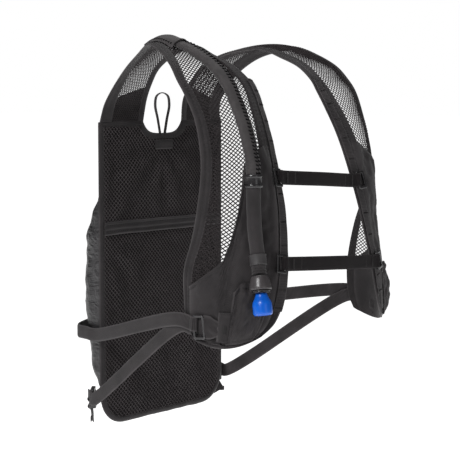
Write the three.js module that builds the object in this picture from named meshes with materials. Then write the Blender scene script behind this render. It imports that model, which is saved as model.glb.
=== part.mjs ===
// A light hydration vest, held up as it is worn. Millimetres, +Z up, +X to the wearer's left, -Y to
// the wearer's front. The origin lies between the shoulders, level with the underside of the straps.
import * as THREE from "three";

// Overall form
const harnessHalfWidth = 172;
const frontDepth = 161;
const backDepth = 119;
const padDrop = 360;
const padBow = 26;
const clearance = 0.3;
const seamGap = 0.8;

// Shoulder straps
const netThickness = 1.6;
const bandThickness = 3;
const bandOverhang = 0.7;
const neckBandWidth = 12;
const armBandWidth = 20;
const padThickness = 3.2;
const pocketBulge = 8;
const pocketSkew = 1.8;
const pocketMouthOpen = 0.04;
const clothWall = 1.2;

// Back panel
const panelHalfWidth = 121;
const panelBottom = -492;
const panelThickness = 4;
const panelCornerRadius = 42;
const panelEdging = 7;
const panelEdgingThickness = 5.4;
const neckHalfWidth = 38;
const neckDip = -113;
const zipBandHeight = 17;
const zipBandPlace = -234;
const zipBandThickness = 1.8;
const hangLoopHeight = 54;
const hangLoopWidth = 17;
const hangTape = 4;
const hangTapeThickness = 1.5;
const patchWidth = 34;
const patchHeight = 12;

// Pouch
const pouchInset = 3;
const pouchHalfWidth = panelHalfWidth - pouchInset;
const pouchTop = -188;
const pouchBottom = -474;
const pouchDepth = 48;
const pouchWall = 1.5;

// Webbing and hardware
const webbingWidth = 16.5;
const webbingThickness = 1.6;
const railWidth = 10;
const railThickness = 1.4;
const sliderLength = 23;
const sliderWidth = 15;
const sliderBar = 3.2;
const ringLength = 29;
const ringWidth = 17;
const ringBar = 3;
const keeperThickness = 6;
const lockLength = 26;
const lockWidth = 22;
const lockThickness = 9;
const lockBar = 4;
const tailLength = 24;

// Drinking tube and mouthpiece
const sleeveWidth = 19;
const sleeveHeight = 13;
const coverDiameter = 17;
const keeperRingLength = 16;
const keeperRingDiameter = 21.2;
const keeperTabLength = 13;
const domeDiameter = 26;
const domeLength = 17;
const valveDiameter = 23;
const valveLength = 25;
const valveNeckDiameter = 14;
const valveRingDiameter = 22;
const valveRingLength = 3.6;

const black = { color: 0x3a3738, roughness: 0.85, metalness: 0 };
const netBlack = { color: 0x1c191a, roughness: 0.9, metalness: 0 };
const glossyBlack = { color: 0x232122, roughness: 0.4, metalness: 0 };
const plasticBlack = { color: 0x1d1c1d, roughness: 0.35, metalness: 0 };
const valveBlue = { color: 0x0a6fe0, roughness: 0.3, metalness: 0 };

// Sections of the left strap from the panel over the shoulder to the pad's hem. X is a share of the
// harness's half width, Y of its back or front depth, Z and sag of the pad's drop, bow of the pad's
// bow, and the bands are shares of their widths.
const strapColumns = ["neckX", "neckY", "neckZ", "armX", "armY", "armZ",
  "bow", "sag", "neckBand", "armBand"];
const strapSections = [
  [0.22, 1.0, -0.267, 0.69, 1.0, -0.267, 0, 0, 0.7, 1],
  [0.21, 0.96, -0.19, 0.665, 0.965, -0.205, 0.04, 0, 0.7, 1],
  [0.22, 0.865, -0.13, 0.657, 0.85, -0.147, 0.1, 0, 0.7, 1],
  [0.23, 0.74, -0.077, 0.663, 0.655, -0.083, 0.2, 0, 0.7, 1],
  [0.26, 0.5, -0.034, 0.7, 0.42, -0.034, 0.28, 0, 0.7, 1],
  [0.314, 0.235, -0.012, 0.785, 0.21, -0.01, 0.3, 0, 0.8, 0.95],
  [0.36, 0, -0.008, 0.866, 0.01, -0.004, 0.25, 0, 0.9, 0.8],
  [0.39, -0.19, -0.039, 0.913, -0.137, -0.028, 0.25, 0, 1, 0.65],
  [0.384, -0.36, -0.07, 0.97, -0.286, -0.07, 0.25, 0, 1, 0.55],
  [0.366, -0.497, -0.114, 1.0, -0.385, -0.12, 0.27, 0, 1, 0.5],
  [0.36, -0.57, -0.158, 1.0, -0.46, -0.167, 0.4, 0, 1, 0.5],
  [0.378, -0.646, -0.222, 0.983, -0.534, -0.24, 0.5, 0, 1, 0.5],
  [0.4, -0.733, -0.305, 0.983, -0.584, -0.322, 0.6, 0, 1, 0.5],
  [0.42, -0.814, -0.405, 0.983, -0.6, -0.417, 0.66, 0, 1, 0.5],
  [0.442, -0.907, -0.544, 0.977, -0.553, -0.55, 0.72, 0, 1, 0.5],
  [0.47, -0.957, -0.655, 0.965, -0.49, -0.644, 0.77, 0, 1, 0.48],
  [0.506, -0.994, -0.76, 0.977, -0.43, -0.739, 0.88, 0, 1, 0.46],
  [0.552, -1.0, -0.847, 0.965, -0.416, -0.82, 0.94, 0.005, 1, 0.45],
  [0.622, -0.98, -0.914, 0.96, -0.435, -0.912, 0.85, 0.028, 0.9, 0.4],
  [0.71, -0.938, -0.953, 0.95, -0.5, -0.968, 0.57, 0.048, 0.8, 0.4],
];
const lastSection = strapSections.length - 1;

/** Smooth value of one column of the strap's table at a station between two sections. */
function column(name, station) {
  const at = Math.min(Math.max(station, 0), lastSection);
  const i = Math.min(Math.floor(at), lastSection - 1);
  const place = strapColumns.indexOf(name);
  const value = (k) => strapSections[Math.min(Math.max(k, 0), lastSection)][place];
  const [a, b, c, d] = [value(i - 1), value(i), value(i + 1), value(i + 2)];
  const t = at - i;
  return b + 0.5 * t * (c - a + t * (2 * a - 5 * b + 4 * c - d + t * (3 * (b - c) + d - a)));
}

function edgePoint(edge, station) {
  const y = column(edge + "Y", station);
  return new THREE.Vector3(
    column(edge + "X", station) * harnessHalfWidth,
    y * (y > 0 ? backDepth : frontDepth),
    column(edge + "Z", station) * padDrop,
  );
}

/** Point of the left strap's inner face: station along it, across 0 at the neck edge and 1 at the arm. */
function strapFace(station, across) {
  const neck = edgePoint("neck", station);
  const chord = edgePoint("arm", station).sub(neck);
  const step = 0.25;
  const run = edgePoint("neck", station + step).add(edgePoint("arm", station + step));
  run.sub(edgePoint("neck", station - step)).sub(edgePoint("arm", station - step));
  const outward = run.cross(chord).normalize();
  const arch = 4 * across * (1 - across);
  const point = neck.addScaledVector(chord, across);
  point.addScaledVector(outward, arch * column("bow", station) * padBow);
  point.z -= arch * column("sag", station) * padDrop;
  return point;
}

/** Point, outward normal, across and upward directions at a height over the strap's inner face. */
function strapFrame(side, station, across, height) {
  const step = 0.02;
  const low = Math.max(station - step, 0);
  const high = Math.min(station + step, lastSection);
  const along = strapFace(high, across).sub(strapFace(low, across));
  const over = strapFace(station, across + step).sub(strapFace(station, across - step));
  const normal = along.clone().cross(over).normalize();
  const point = strapFace(station, across).addScaledVector(normal, height);
  const mirror = (v) => v.set(v.x * side, v.y, v.z);
  return {
    point: mirror(point),
    normal: mirror(normal),
    over: mirror(over.normalize()),
    up: mirror(along.normalize().negate()),
  };
}

function strapWidth(station) {
  return edgePoint("neck", station).distanceTo(edgePoint("arm", station));
}

const neckShare = (station) => (column("neckBand", station) * neckBandWidth) / strapWidth(station);
const armShare = (station) => 1 - (column("armBand", station) * armBandWidth) / strapWidth(station);

/** Closed body through rings of equally many points, each ring closed on itself, with flat ends. */
function loft(rings) {
  const count = rings[0].length;
  const positions = rings.flat().flatMap((p) => [p.x, p.y, p.z]);
  const faces = [];
  for (let r = 0; r < rings.length - 1; r++) {
    for (let i = 0; i < count; i++) {
      const a = r * count + i;
      const b = r * count + ((i + 1) % count);
      faces.push([a, b, a + count], [b, b + count, a + count]);
    }
  }
  const last = (rings.length - 1) * count;
  for (let i = 0; i < count / 2 - 1; i++) {
    const j = count - 1 - i;
    faces.push([i, j, i + 1], [j, j - 1, i + 1]);
    faces.push([last + i, last + i + 1, last + j], [last + j, last + i + 1, last + j - 1]);
  }
  const corner = (k) => new THREE.Vector3().fromArray(positions, 3 * k);
  const volume = faces.reduce((sum, [a, b, c]) => sum + corner(a).dot(corner(b).cross(corner(c))), 0);
  const outward = volume > 0 ? faces : faces.map(([a, b, c]) => [a, c, b]);
  const geometry = new THREE.BufferGeometry();
  geometry.setAttribute("position", new THREE.Float32BufferAttribute(positions, 3));
  geometry.setIndex(outward.flat());
  geometry.computeVertexNormals();
  return geometry;
}

/** Closed sheet between two heights over a face; place(a, b, height) gives its points. */
function sheet(place, inner, outer, rows, columns) {
  const heightAt = (height, a, b) => (typeof height === "function" ? height(a, b) : height);
  const rings = [];
  const shares = (count) => Array.from({ length: count + 1 }, (_, i) => i / count);
  const across = Array.isArray(columns) ? columns : shares(columns);
  for (const a of shares(rows)) {
    const over = across.map((b) => place(a, b, heightAt(outer, a, b)));
    const under = across.map((b) => place(a, b, heightAt(inner, a, b)));
    rings.push([...over, ...under.reverse()]);
  }
  return loft(rings);
}

/** Flat webbing along a path, its width as near to a given direction as its run allows. */
function webbing(points, width, thickness, steps, broadside = new THREE.Vector3(0, 0, 1)) {
  const path = new THREE.CatmullRomCurve3(points, false, "centripetal");
  const place = (a, b, height) => {
    const run = path.getTangent(a);
    const wide = broadside.clone().addScaledVector(run, -broadside.dot(run)).normalize();
    const through = run.clone().cross(wide);
    return path.getPoint(a).addScaledVector(wide, (b - 0.5) * width).addScaledVector(through, height);
  };
  return sheet(place, -thickness / 2, thickness / 2, steps, 1);
}

/** Outline of a rectangle with round corners, between two opposite corners. */
function roundedOutline(target, x0, y0, x1, y1, r) {
  const quarter = Math.PI / 2;
  target.moveTo(x0 + r, y0);
  target.lineTo(x1 - r, y0);
  target.absarc(x1 - r, y0 + r, r, -quarter, 0, false);
  target.lineTo(x1, y1 - r);
  target.absarc(x1 - r, y1 - r, r, 0, quarter, false);
  target.lineTo(x0 + r, y1);
  target.absarc(x0 + r, y1 - r, r, quarter, 2 * quarter, false);
  target.lineTo(x0, y0 + r);
  target.absarc(x0 + r, y0 + r, r, 2 * quarter, 3 * quarter, false);
  return target;
}

/** Flat frame with round corners and equal slots, one above the other, between its bars. */
function slottedFrame(width, length, thickness, bar, radius, slots) {
  const shape = roundedOutline(new THREE.Shape(), -width / 2, -length / 2, width / 2, length / 2, radius);
  const pitch = (length - bar) / slots;
  for (let k = 0; k < slots; k++) {
    const low = -length / 2 + bar + k * pitch;
    const slot = new THREE.Path();
    shape.holes.push(roundedOutline(slot, -width / 2 + bar, low, width / 2 - bar, low + pitch - bar, 1));
  }
  const options = { depth: thickness, bevelEnabled: false, curveSegments: 3 };
  const frame = new THREE.ExtrudeGeometry(shape, options);
  return frame.translate(0, 0, -thickness / 2);
}

const vest = new THREE.Group();

function add(name, geometry, finish, frame) {
  const mesh = new THREE.Mesh(geometry, new THREE.MeshStandardMaterial(finish));
  mesh.name = name;
  if (frame) {
    const wide = frame.up.clone().cross(frame.normal).normalize();
    const up = frame.normal.clone().cross(wide);
    mesh.quaternion.setFromRotationMatrix(new THREE.Matrix4().makeBasis(wide, up, frame.normal));
    mesh.position.copy(frame.point);
  }
  vest.add(mesh);
  return mesh;
}

const sides = [
  { name: "left", side: 1 },
  { name: "right", side: -1 },
];

// Edge of the cloth pad against the net: the station where the pad starts, from the neck band (0)
// to the arm band (1).
const padEdge = [
  { across: 0, station: 12.3 },
  { across: 0.28, station: 12.5 },
  { across: 0.53, station: 12.9 },
  { across: 0.6, station: 14.1 },
  { across: 0.66, station: 15.6 },
  { across: 0.8, station: 16.05 },
  { across: 1, station: 16.65 },
];
const padEdgeGap = 0.1;

function padEdgeStation(across) {
  const i = Math.max(0, padEdge.findIndex((p) => p.across >= across) - 1);
  const [low, high] = [padEdge[i], padEdge[i + 1]];
  const share = (across - low.across) / (high.across - low.across);
  return low.station + share * (high.station - low.station);
}

/** Places a sheet between the two bands of a strap. */
function betweenBands(side, stationAt) {
  return (a, b, height) => {
    const station = stationAt(a, b);
    const gap = seamGap / strapWidth(station);
    const low = neckShare(station) + gap;
    const high = armShare(station) - gap;
    return strapFrame(side, station, low + (high - low) * b, height).point;
  };
}

/** Places a sheet on a strap between two stations and two shares across it. */
function patch(side, [s0, s1], [v0, v1]) {
  return (a, b, height) => strapFrame(side, s0 + a * (s1 - s0), v0 + b * (v1 - v0), height).point;
}

const padFace = padThickness + clearance;
const bandTop = bandThickness - bandOverhang;

function addStrap({ name, side }) {
  const columns = padEdge.map((p) => p.across);
  const net = betweenBands(side, (a, b) => a * (padEdgeStation(b) - padEdgeGap));
  add("strap_net_" + name, sheet(net, 0, netThickness, 28, columns), netBlack);

  const pad = betweenBands(side, (a, b) => padEdgeStation(b) + a * (lastSection - padEdgeStation(b)));
  add("front_pad_" + name, sheet(pad, 0, padThickness, 10, columns), black);

  const band = (from, to) => (a, b, height) => {
    const station = a * lastSection;
    return strapFrame(side, station, from(station) + b * (to(station) - from(station)), height).point;
  };
  const neckBand = band(() => 0, neckShare);
  add("neck_band_" + name, sheet(neckBand, -bandOverhang, bandTop, 36, 1), black);
  const armBand = band(armShare, () => 1);
  add("arm_band_" + name, sheet(armBand, -bandOverhang, bandTop, 36, 1), black);
}

// Stations and shares across the strap of what is sewn to it
const railStations = [9.2, 17.4];
const pocketStations = [16.3, 18.75];
const pocketAcross = [0.17, 0.5];
const tabStations = [17.6, 18.5];
const tabAcross = [0.615, 0.73];
const keeperStations = [17.5, 18.55];
const keeperAcross = [0.515, 0.6];

function addSewnParts({ name, side }) {
  const railFoot = bandTop + 2 * clearance;
  const rail = (a, b, height) => {
    const station = railStations[0] + a * (railStations[1] - railStations[0]);
    const middle = 0.5 * neckShare(station);
    return strapFrame(side, station, middle + ((b - 0.5) * railWidth) / strapWidth(station), height).point;
  };
  add("rail_webbing_" + name, sheet(rail, railFoot, railFoot + railThickness, 26, 1), black);

  const pocket = patch(side, pocketStations, pocketAcross);
  const fullness = (a) => Math.max(0, pocketMouthOpen * (1 - a) + pocketSkew * (a - a ** 4));
  const swell = (a, b) => Math.sin(Math.PI * b ** pocketSkew) * fullness(a);
  const inside = (a, b) => padFace + pocketBulge * swell(a, b);
  const outside = (a, b) => inside(a, b) + clothWall;
  add("pad_pocket_" + name, sheet(pocket, inside, outside, 8, 8), black);

  const tab = patch(side, tabStations, tabAcross);
  add("d_ring_tab_" + name, sheet(tab, padFace, padFace + webbingThickness, 2, 2), black);
  const keeper = patch(side, keeperStations, keeperAcross);
  add("strap_keeper_" + name, sheet(keeper, padFace, padFace + keeperThickness, 2, 2), black);
}

const ringStation = 18.05;
const ringAcross = 0.815;
const ringLift = 0.25;

function addRing({ name, side }) {
  const ring = slottedFrame(ringWidth, ringLength, ringBar, ringBar, 5, 1);
  const frame = strapFrame(side, ringStation, ringAcross, padFace + ringLift + ringBar / 2);
  add("d_ring_" + name, ring, plasticBlack, frame);
  return frame;
}

const sliderStation = {
  upper: { left: 13.5, right: 13.3 },
  lower: { left: 16, right: 15.65 },
};
const sliderAcross = 0.09;
const sliderFoot = bandTop + 3 * clearance + railThickness;
const chestSlack = 3;
const strapMitre = 2.4;

function addChest(level) {
  const reach = sliderWidth / 2 + clearance + strapMitre;
  const ends = sides.map(({ name, side }) => {
    const frame = strapFrame(side, sliderStation[level][name], sliderAcross, sliderFoot + sliderBar / 2);
    const body = slottedFrame(sliderWidth, sliderLength, sliderBar, sliderBar, 2, 1);
    add("chest_slider_" + level + "_" + name, body, plasticBlack, frame);
    return frame.point.clone().addScaledVector(frame.over, -reach);
  });
  const middle = ends[0].clone().add(ends[1]).multiplyScalar(0.5);
  middle.y -= chestSlack;
  const strap = webbing([ends[0], middle, ends[1]], webbingWidth, webbingThickness, 10);
  add("chest_strap_" + level, strap, black);
}

// Back panel
const panelMiddle = backDepth + 0.5;
const panelFront = panelMiddle - panelThickness / 2;
const panelTop = column("neckZ", 0) * padDrop - clearance;

function panelOutline(inset) {
  const wide = panelHalfWidth - inset;
  const low = panelBottom + inset;
  const top = panelTop - inset;
  const neck = neckHalfWidth + inset;
  const dip = neckDip - inset;
  const radius = panelCornerRadius - inset;
  const shape = new THREE.Shape();
  shape.moveTo(-neck, top);
  shape.bezierCurveTo(-neck * 0.8, dip, -neck * 0.5, dip, 0, dip);
  shape.bezierCurveTo(neck * 0.5, dip, neck * 0.8, dip, neck, top);
  shape.lineTo(wide, top);
  shape.lineTo(wide, low + radius);
  shape.absarc(wide - radius, low + radius, radius, 0, -Math.PI / 2, true);
  shape.lineTo(radius - wide, low);
  shape.absarc(radius - wide, low + radius, radius, -Math.PI / 2, -Math.PI, true);
  shape.lineTo(-wide, top);
  const points = shape.getPoints(8);
  return points.filter((p, i) => i === 0 || p.distanceTo(points[i - 1]) > clearance / 3);
}

/** Slab of a shape drawn in X and Z, centred on a depth along Y. */
function slab(shape, thickness, middle) {
  const body = new THREE.ExtrudeGeometry(shape, { depth: thickness, bevelEnabled: false, curveSegments: 8 });
  return body.translate(0, 0, -thickness / 2).rotateX(Math.PI / 2).translate(0, middle, 0);
}

function addPanel() {
  const mesh = new THREE.Shape(panelOutline(panelEdging + clearance));
  add("back_panel", slab(mesh, panelThickness, panelMiddle), netBlack);
  const edging = new THREE.Shape(panelOutline(0));
  edging.holes.push(new THREE.Path(panelOutline(panelEdging).reverse()));
  add("panel_binding", slab(edging, panelEdgingThickness, panelMiddle), black);

  const facing = (width, height, thickness, level) => {
    const body = new THREE.BoxGeometry(width, thickness, height);
    return body.translate(0, panelFront - clearance - thickness / 2, level);
  };
  const zipWidth = 2 * (panelHalfWidth - panelEdging - clearance);
  add("zip_band", facing(zipWidth, zipBandHeight, zipBandThickness, zipBandPlace), black);
  const patchLevel = neckDip - panelEdging - clearance - patchHeight / 2 - 1;
  add("hang_loop_patch", facing(patchWidth, patchHeight, clothWall, patchLevel), black);

  const half = hangLoopWidth / 2;
  const low = neckDip + clearance;
  const loopPoints = [
    [-0.35, 0], [-0.75, 0.35], [-1, 0.7], [-0.7, 0.93], [0, 1],
    [0.7, 0.93], [1, 0.7], [0.75, 0.35], [0.35, 0],
  ].map(([x, z]) => new THREE.Vector3(x * half, panelMiddle, low + z * hangLoopHeight));
  const acrossPanel = new THREE.Vector3(0, 1, 0);
  add("hang_loop", webbing(loopPoints, hangTape, hangTapeThickness, 24, acrossPanel), black);
}

// Pouch sections from its mouth down: place and depth as shares of its height and depth, width as a
// share of its half width.
const pouchSections = [
  { place: 0, width: 0.94, depth: 0.28 },
  { place: 0.1, width: 0.98, depth: 0.66 },
  { place: 0.2, width: 1, depth: 0.92 },
  { place: 0.3, width: 1, depth: 1 },
  { place: 0.55, width: 1, depth: 0.98 },
  { place: 0.68, width: 1, depth: 0.84 },
  { place: 0.8, width: 1, depth: 0.62 },
  { place: 0.91, width: 0.96, depth: 0.3 },
  { place: 1, width: 0.8, depth: pouchWall / pouchDepth },
];

function pouchSection(place) {
  const i = Math.max(1, pouchSections.findIndex((p) => p.place >= place));
  const [low, high] = [pouchSections[i - 1], pouchSections[i]];
  const share = (place - low.place) / (high.place - low.place);
  const mix = (name) => low[name] + share * (high[name] - low[name]);
  return { width: mix("width") * pouchHalfWidth, depth: mix("depth") * pouchDepth };
}

const pouchFoot = panelMiddle + panelEdgingThickness / 2 + clearance;

function addPouch() {
  const place = (a, b, height) => {
    const { width, depth } = pouchSection(a);
    const turn = Math.PI * (b - 0.5);
    const x = Math.sign(turn) * Math.abs(Math.sin(turn)) ** (1 / 3) * (width - pouchWall + height);
    const y = Math.max(0, Math.cos(turn)) ** (2 / 3) * (depth - pouchWall + height);
    return new THREE.Vector3(x, pouchFoot + y, pouchTop + a * (pouchBottom - pouchTop));
  };
  add("pouch", sheet(place, 0, pouchWall, 20, 16), glossyBlack);
}

// Side straps: where the upper one goes round the pouch, and where the adjuster hangs
const wrapLevel = -361;
const wrapRise = 18;
const wrapStandoff = 7;
const strapSpread = 3;
const lockTurn = 50;
const lockLevel = -455;
const lockStandoff = 4;
const lockSetback = 7;
const lockMitre = 4.2;
const tailMitre = 1.9;
const tailLean = 0.2;
const ringLap = 1.1;
const pastArmEdge = 1.04;
// Shares of the pouch's height, half width and depth that place the strap round it
const wrapPlace = 0.6;
const wrapTurn = { side: 0.45, width: 0.2, depth: 0.12, flat: 0.6, level: 0.2 };

function addSideStraps() {
  const rings = sides.map(addRing);
  const reach = ringWidth / 2 + clearance + strapMitre;
  const leaving = (side, frame, spread, offset) => {
    const end = frame.point.clone().addScaledVector(frame.over, reach).addScaledVector(frame.up, spread);
    const past = strapFrame(side, ringStation, pastArmEdge, padFace + ringLift + ringBar + offset);
    return [end.addScaledVector(frame.normal, offset), past.point.addScaledVector(past.up, 2 * spread)];
  };
  const pouchSide = pouchHalfWidth + wrapStandoff;
  const back = pouchFoot + pouchSection(wrapPlace).depth + 3 * webbingThickness;
  const around = (side) => {
    const level = wrapLevel + (side * wrapRise) / 2;
    return [
      new THREE.Vector3(side * (pouchSide + 4), panelMiddle, level),
      new THREE.Vector3(side * pouchSide, panelMiddle + wrapTurn.side * pouchDepth, level),
      new THREE.Vector3(
        side * (pouchSide - wrapTurn.width * pouchDepth), back - wrapTurn.depth * pouchDepth, level,
      ),
      new THREE.Vector3(
        side * wrapTurn.flat * pouchHalfWidth, back, wrapLevel + side * wrapTurn.level * wrapRise,
      ),
    ];
  };
  const runs = sides.map(({ side }, i) => [...leaving(side, rings[i], strapSpread, ringLap), ...around(side)]);
  const middle = new THREE.Vector3(0, back, wrapLevel);
  const loop = [...runs[0], middle, ...runs[1].reverse()];
  add("wrap_strap", webbing(loop, webbingWidth, webbingThickness, 56), black);

  const turn = THREE.MathUtils.degToRad(lockTurn);
  sides.forEach(({ name, side }, i) => {
    const normal = new THREE.Vector3(side * Math.cos(turn), Math.sin(turn), 0);
    const wide = new THREE.Vector3(side * Math.sin(turn), -Math.cos(turn), 0);
    const lock = new THREE.Vector3(side * panelHalfWidth, panelMiddle + panelEdgingThickness / 2, lockLevel);
    lock.addScaledVector(normal, lockThickness / 2 + lockStandoff).addScaledVector(wide, -lockSetback);
    const body = slottedFrame(lockWidth, lockLength, lockThickness, lockBar, 2, 2);
    add("ladder_lock_" + name, body, plasticBlack, { point: lock, normal, up: new THREE.Vector3(0, 0, 1) });
    const end = lock.clone().addScaledVector(wide, lockWidth / 2 + clearance + lockMitre);
    const run = [...leaving(side, rings[i], -strapSpread, -ringLap), end];
    add("side_strap_" + name, webbing(run, webbingWidth, webbingThickness, 10), black);
    const tailTop = lock.clone();
    tailTop.z -= lockLength / 2 + clearance + tailMitre;
    const tailEnd = tailTop.clone().addScaledVector(wide, tailLean * tailLength);
    tailEnd.z -= tailLength;
    add("strap_tail_" + name, webbing([tailTop, tailEnd], webbingWidth, webbingThickness, 2, wide), black);
  });
}

// Route of the covered drinking tube down the right strap: stations, shares across it, height of its
// middle over the strap's inner face, and its width and depth as shares of the sleeve's or cover's.
const coverShares = { wide: coverDiameter / sleeveWidth, deep: coverDiameter / sleeveHeight };
const sleeveRoute = [
  { station: 6.6, across: 0.72, height: 6.6, wide: 0.8, deep: 0.7 },
  { station: 7.1, across: 0.665, height: 7, wide: 0.9, deep: 0.76 },
  { station: 7.6, across: 0.61, height: 7.8, wide: 1, deep: 0.88 },
  { station: 8.6, across: 0.52, height: 8.5, wide: 1, deep: 1 },
  { station: 9.9, across: 0.51, height: 8.5, wide: 1, deep: 1 },
  { station: 11.1, across: 0.51, height: 8.8, wide: 1, deep: 1 },
  { station: 12.2, across: 0.5, height: 10.8, wide: 1, deep: 1 },
  { station: 12.8, across: 0.495, height: 13.2, wide: 0.93, deep: 1.15 },
  { station: 13.0, across: 0.49, height: 14.1, ...coverShares },
  { station: 13.25, across: 0.485, height: 14.1, ...coverShares },
];
const coverRoute = [
  { station: 13.28, across: 0.485, height: 14.1 },
  { station: 14.3, across: 0.44, height: 14.1 },
  { station: 15.35, across: 0.36, height: 14.3 },
  { station: 15.8, across: 0.33, height: 15.6 },
  { station: 16.0, across: 0.32, height: 17.2 },
];
const hoodStations = [4.6, 7.0];
const hoodAcross = { start: 0.76, mouth: 0.675, width: 0.28 };
const hoodRise = 12.5;
const mouthpieceEnd = { station: 17.5, across: 0.24, height: 26 };
const tubeSide = -1;

const tubePoint = (row) => strapFrame(tubeSide, row.station, row.across, row.height);

/** Closed tube of flat oval sections along a route on the strap. */
function routedTube(route, width, depth, steps, sectionPoints) {
  const frames = route.map(tubePoint);
  const path = new THREE.CatmullRomCurve3(frames.map((f) => f.point), false, "centripetal");
  const mixed = (values, t) => {
    const at = Math.min(t * (values.length - 1), values.length - 1.001);
    const i = Math.floor(at);
    return values[i] + (at - i) * (values[i + 1] - values[i]);
  };
  const rings = [];
  for (let k = 0; k <= steps; k++) {
    const t = k / steps;
    const run = path.getTangent(t);
    const leaning = (axis) => mixed(frames.map((f) => f.normal[axis]), t);
    const normal = new THREE.Vector3(leaning("x"), leaning("y"), leaning("z"));
    normal.addScaledVector(run, -normal.dot(run)).normalize();
    const over = run.clone().cross(normal);
    const half = (name, size) => (mixed(route.map((r) => r[name] ?? 1), t) * size) / 2;
    const halfWidth = half("wide", width);
    const halfDepth = half("deep", depth);
    const ring = [];
    for (let i = 0; i < sectionPoints; i++) {
      const turn = (2 * Math.PI * (i + 0.5)) / sectionPoints;
      const point = path.getPoint(t).addScaledVector(over, Math.cos(turn) * halfWidth);
      ring.push(point.addScaledVector(normal, Math.sin(turn) * halfDepth));
    }
    rings.push(ring);
  }
  return loft(rings);
}

/** Round band that holds the tube at a place on its route. */
function keeperBand(row, next, length) {
  const shape = new THREE.Shape().absarc(0, 0, keeperRingDiameter / 2, 0, 2 * Math.PI, false);
  shape.holes.push(new THREE.Path().absarc(0, 0, coverDiameter / 2 + 3 * clearance, 0, 2 * Math.PI, true));
  const body = new THREE.ExtrudeGeometry(shape, { depth: length, bevelEnabled: false, curveSegments: 10 });
  const start = tubePoint(row);
  const run = tubePoint(next).point.sub(start.point).normalize();
  const frame = { point: start.point, normal: run, up: start.normal };
  return { body: body.translate(0, 0, -length / 2), frame };
}

function addTube() {
  const hood = (a, b, height) => {
    const station = hoodStations[0] + a * (hoodStations[1] - hoodStations[0]);
    const middle = hoodAcross.start + a * (hoodAcross.mouth - hoodAcross.start);
    const across = middle + (b - 0.5) * hoodAcross.width;
    return strapFrame(tubeSide, station, across, height).point;
  };
  const lining = (a, b) => bandTop + clearance + hoodRise * a * Math.sin(Math.PI * b) ** 0.5;
  add("tube_hood", sheet(hood, lining, (a, b) => lining(a, b) + clothWall, 8, 8), black);
  add("tube_sleeve", routedTube(sleeveRoute, sleeveWidth, sleeveHeight, 22, 12), black);
  add("tube_cover", routedTube(coverRoute, coverDiameter, coverDiameter, 12, 12), black);
  const ring = keeperBand(coverRoute[0], coverRoute[1], keeperRingLength);
  add("tube_keeper_ring", ring.body, plasticBlack, ring.frame);
  const tabPlace = { station: 15.55, across: 0.345, height: 14.5 };
  const tab = keeperBand(tabPlace, coverRoute[3], keeperTabLength);
  add("tube_keeper_tab", tab.body, black, tab.frame);

  const top = tubePoint(coverRoute[coverRoute.length - 1]).point;
  const axis = tubePoint(mouthpieceEnd).point.sub(top).normalize();
  const turned = (name, profile, start, finish) => {
    const points = profile.map(([radius, along]) => new THREE.Vector2(radius, start + along));
    const mesh = add(name, new THREE.LatheGeometry(points, 16), finish);
    mesh.position.copy(top);
    mesh.quaternion.setFromUnitVectors(new THREE.Vector3(0, 1, 0), axis);
  };
  const domeRadius = domeDiameter / 2;
  const domeStart = 5 * clearance;
  turned("valve_dome", [
    [0, 0], [0.66 * domeRadius, 0], [0.84 * domeRadius, 0.25 * domeLength],
    [0.95 * domeRadius, 0.6 * domeLength], [domeRadius, 0.9 * domeLength],
    [0.94 * domeRadius, domeLength], [0, domeLength],
  ], domeStart, black);
  const ringStart = domeStart + domeLength + clearance;
  turned("valve_ring", [
    [0, 0], [valveRingDiameter / 2, 0], [valveRingDiameter / 2, valveRingLength], [0, valveRingLength],
  ], ringStart, plasticBlack);
  const valveStart = ringStart + valveRingLength + clearance;
  const radius = valveDiameter / 2;
  turned("bite_valve", [
    [0, 0], [valveNeckDiameter / 2, 0], [0.97 * radius, 0.38 * valveLength], [radius, 0.5 * valveLength],
    [radius, 0.9 * valveLength], [0.93 * radius, valveLength], [0.8 * radius, valveLength],
    [0.75 * radius, 0.95 * valveLength], [0, 0.93 * valveLength],
  ], valveStart, valveBlue);
}

sides.forEach(addStrap);
sides.forEach(addSewnParts);
Object.keys(sliderStation).forEach(addChest);
addPanel();
addPouch();
addSideStraps();
addTube();

export default vest;
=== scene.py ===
"""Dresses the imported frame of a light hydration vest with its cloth, nets, webbing and fittings."""

from __future__ import annotations

import logging
import math
from collections.abc import Callable, Sequence
from dataclasses import dataclass, field
from enum import Enum

import bmesh
import bpy
from mathutils import Matrix, Vector, noise


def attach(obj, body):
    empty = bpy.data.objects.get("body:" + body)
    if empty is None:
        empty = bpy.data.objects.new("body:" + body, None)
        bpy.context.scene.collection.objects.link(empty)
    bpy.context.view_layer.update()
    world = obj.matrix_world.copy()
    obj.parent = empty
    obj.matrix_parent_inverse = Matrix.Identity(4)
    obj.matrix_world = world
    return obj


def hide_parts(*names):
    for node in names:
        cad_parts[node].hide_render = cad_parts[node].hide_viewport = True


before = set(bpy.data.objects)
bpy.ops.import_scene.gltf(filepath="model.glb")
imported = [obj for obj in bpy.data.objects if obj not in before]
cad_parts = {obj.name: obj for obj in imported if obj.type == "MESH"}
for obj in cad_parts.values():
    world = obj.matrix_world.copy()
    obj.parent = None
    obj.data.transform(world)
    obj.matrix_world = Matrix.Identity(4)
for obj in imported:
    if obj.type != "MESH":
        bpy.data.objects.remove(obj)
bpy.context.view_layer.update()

logging.basicConfig(level=logging.INFO, format="%(message)s")
log = logging.getLogger("vest")

MM = 0.001
UP = Vector((0, 0, 1))
BACK = Vector((0, 1, 0))
Place = Callable[[float, float, float], Vector]
Height = Callable[[float, float], float]
Sewn = tuple[Vector, Vector]


# Small helpers


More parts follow.
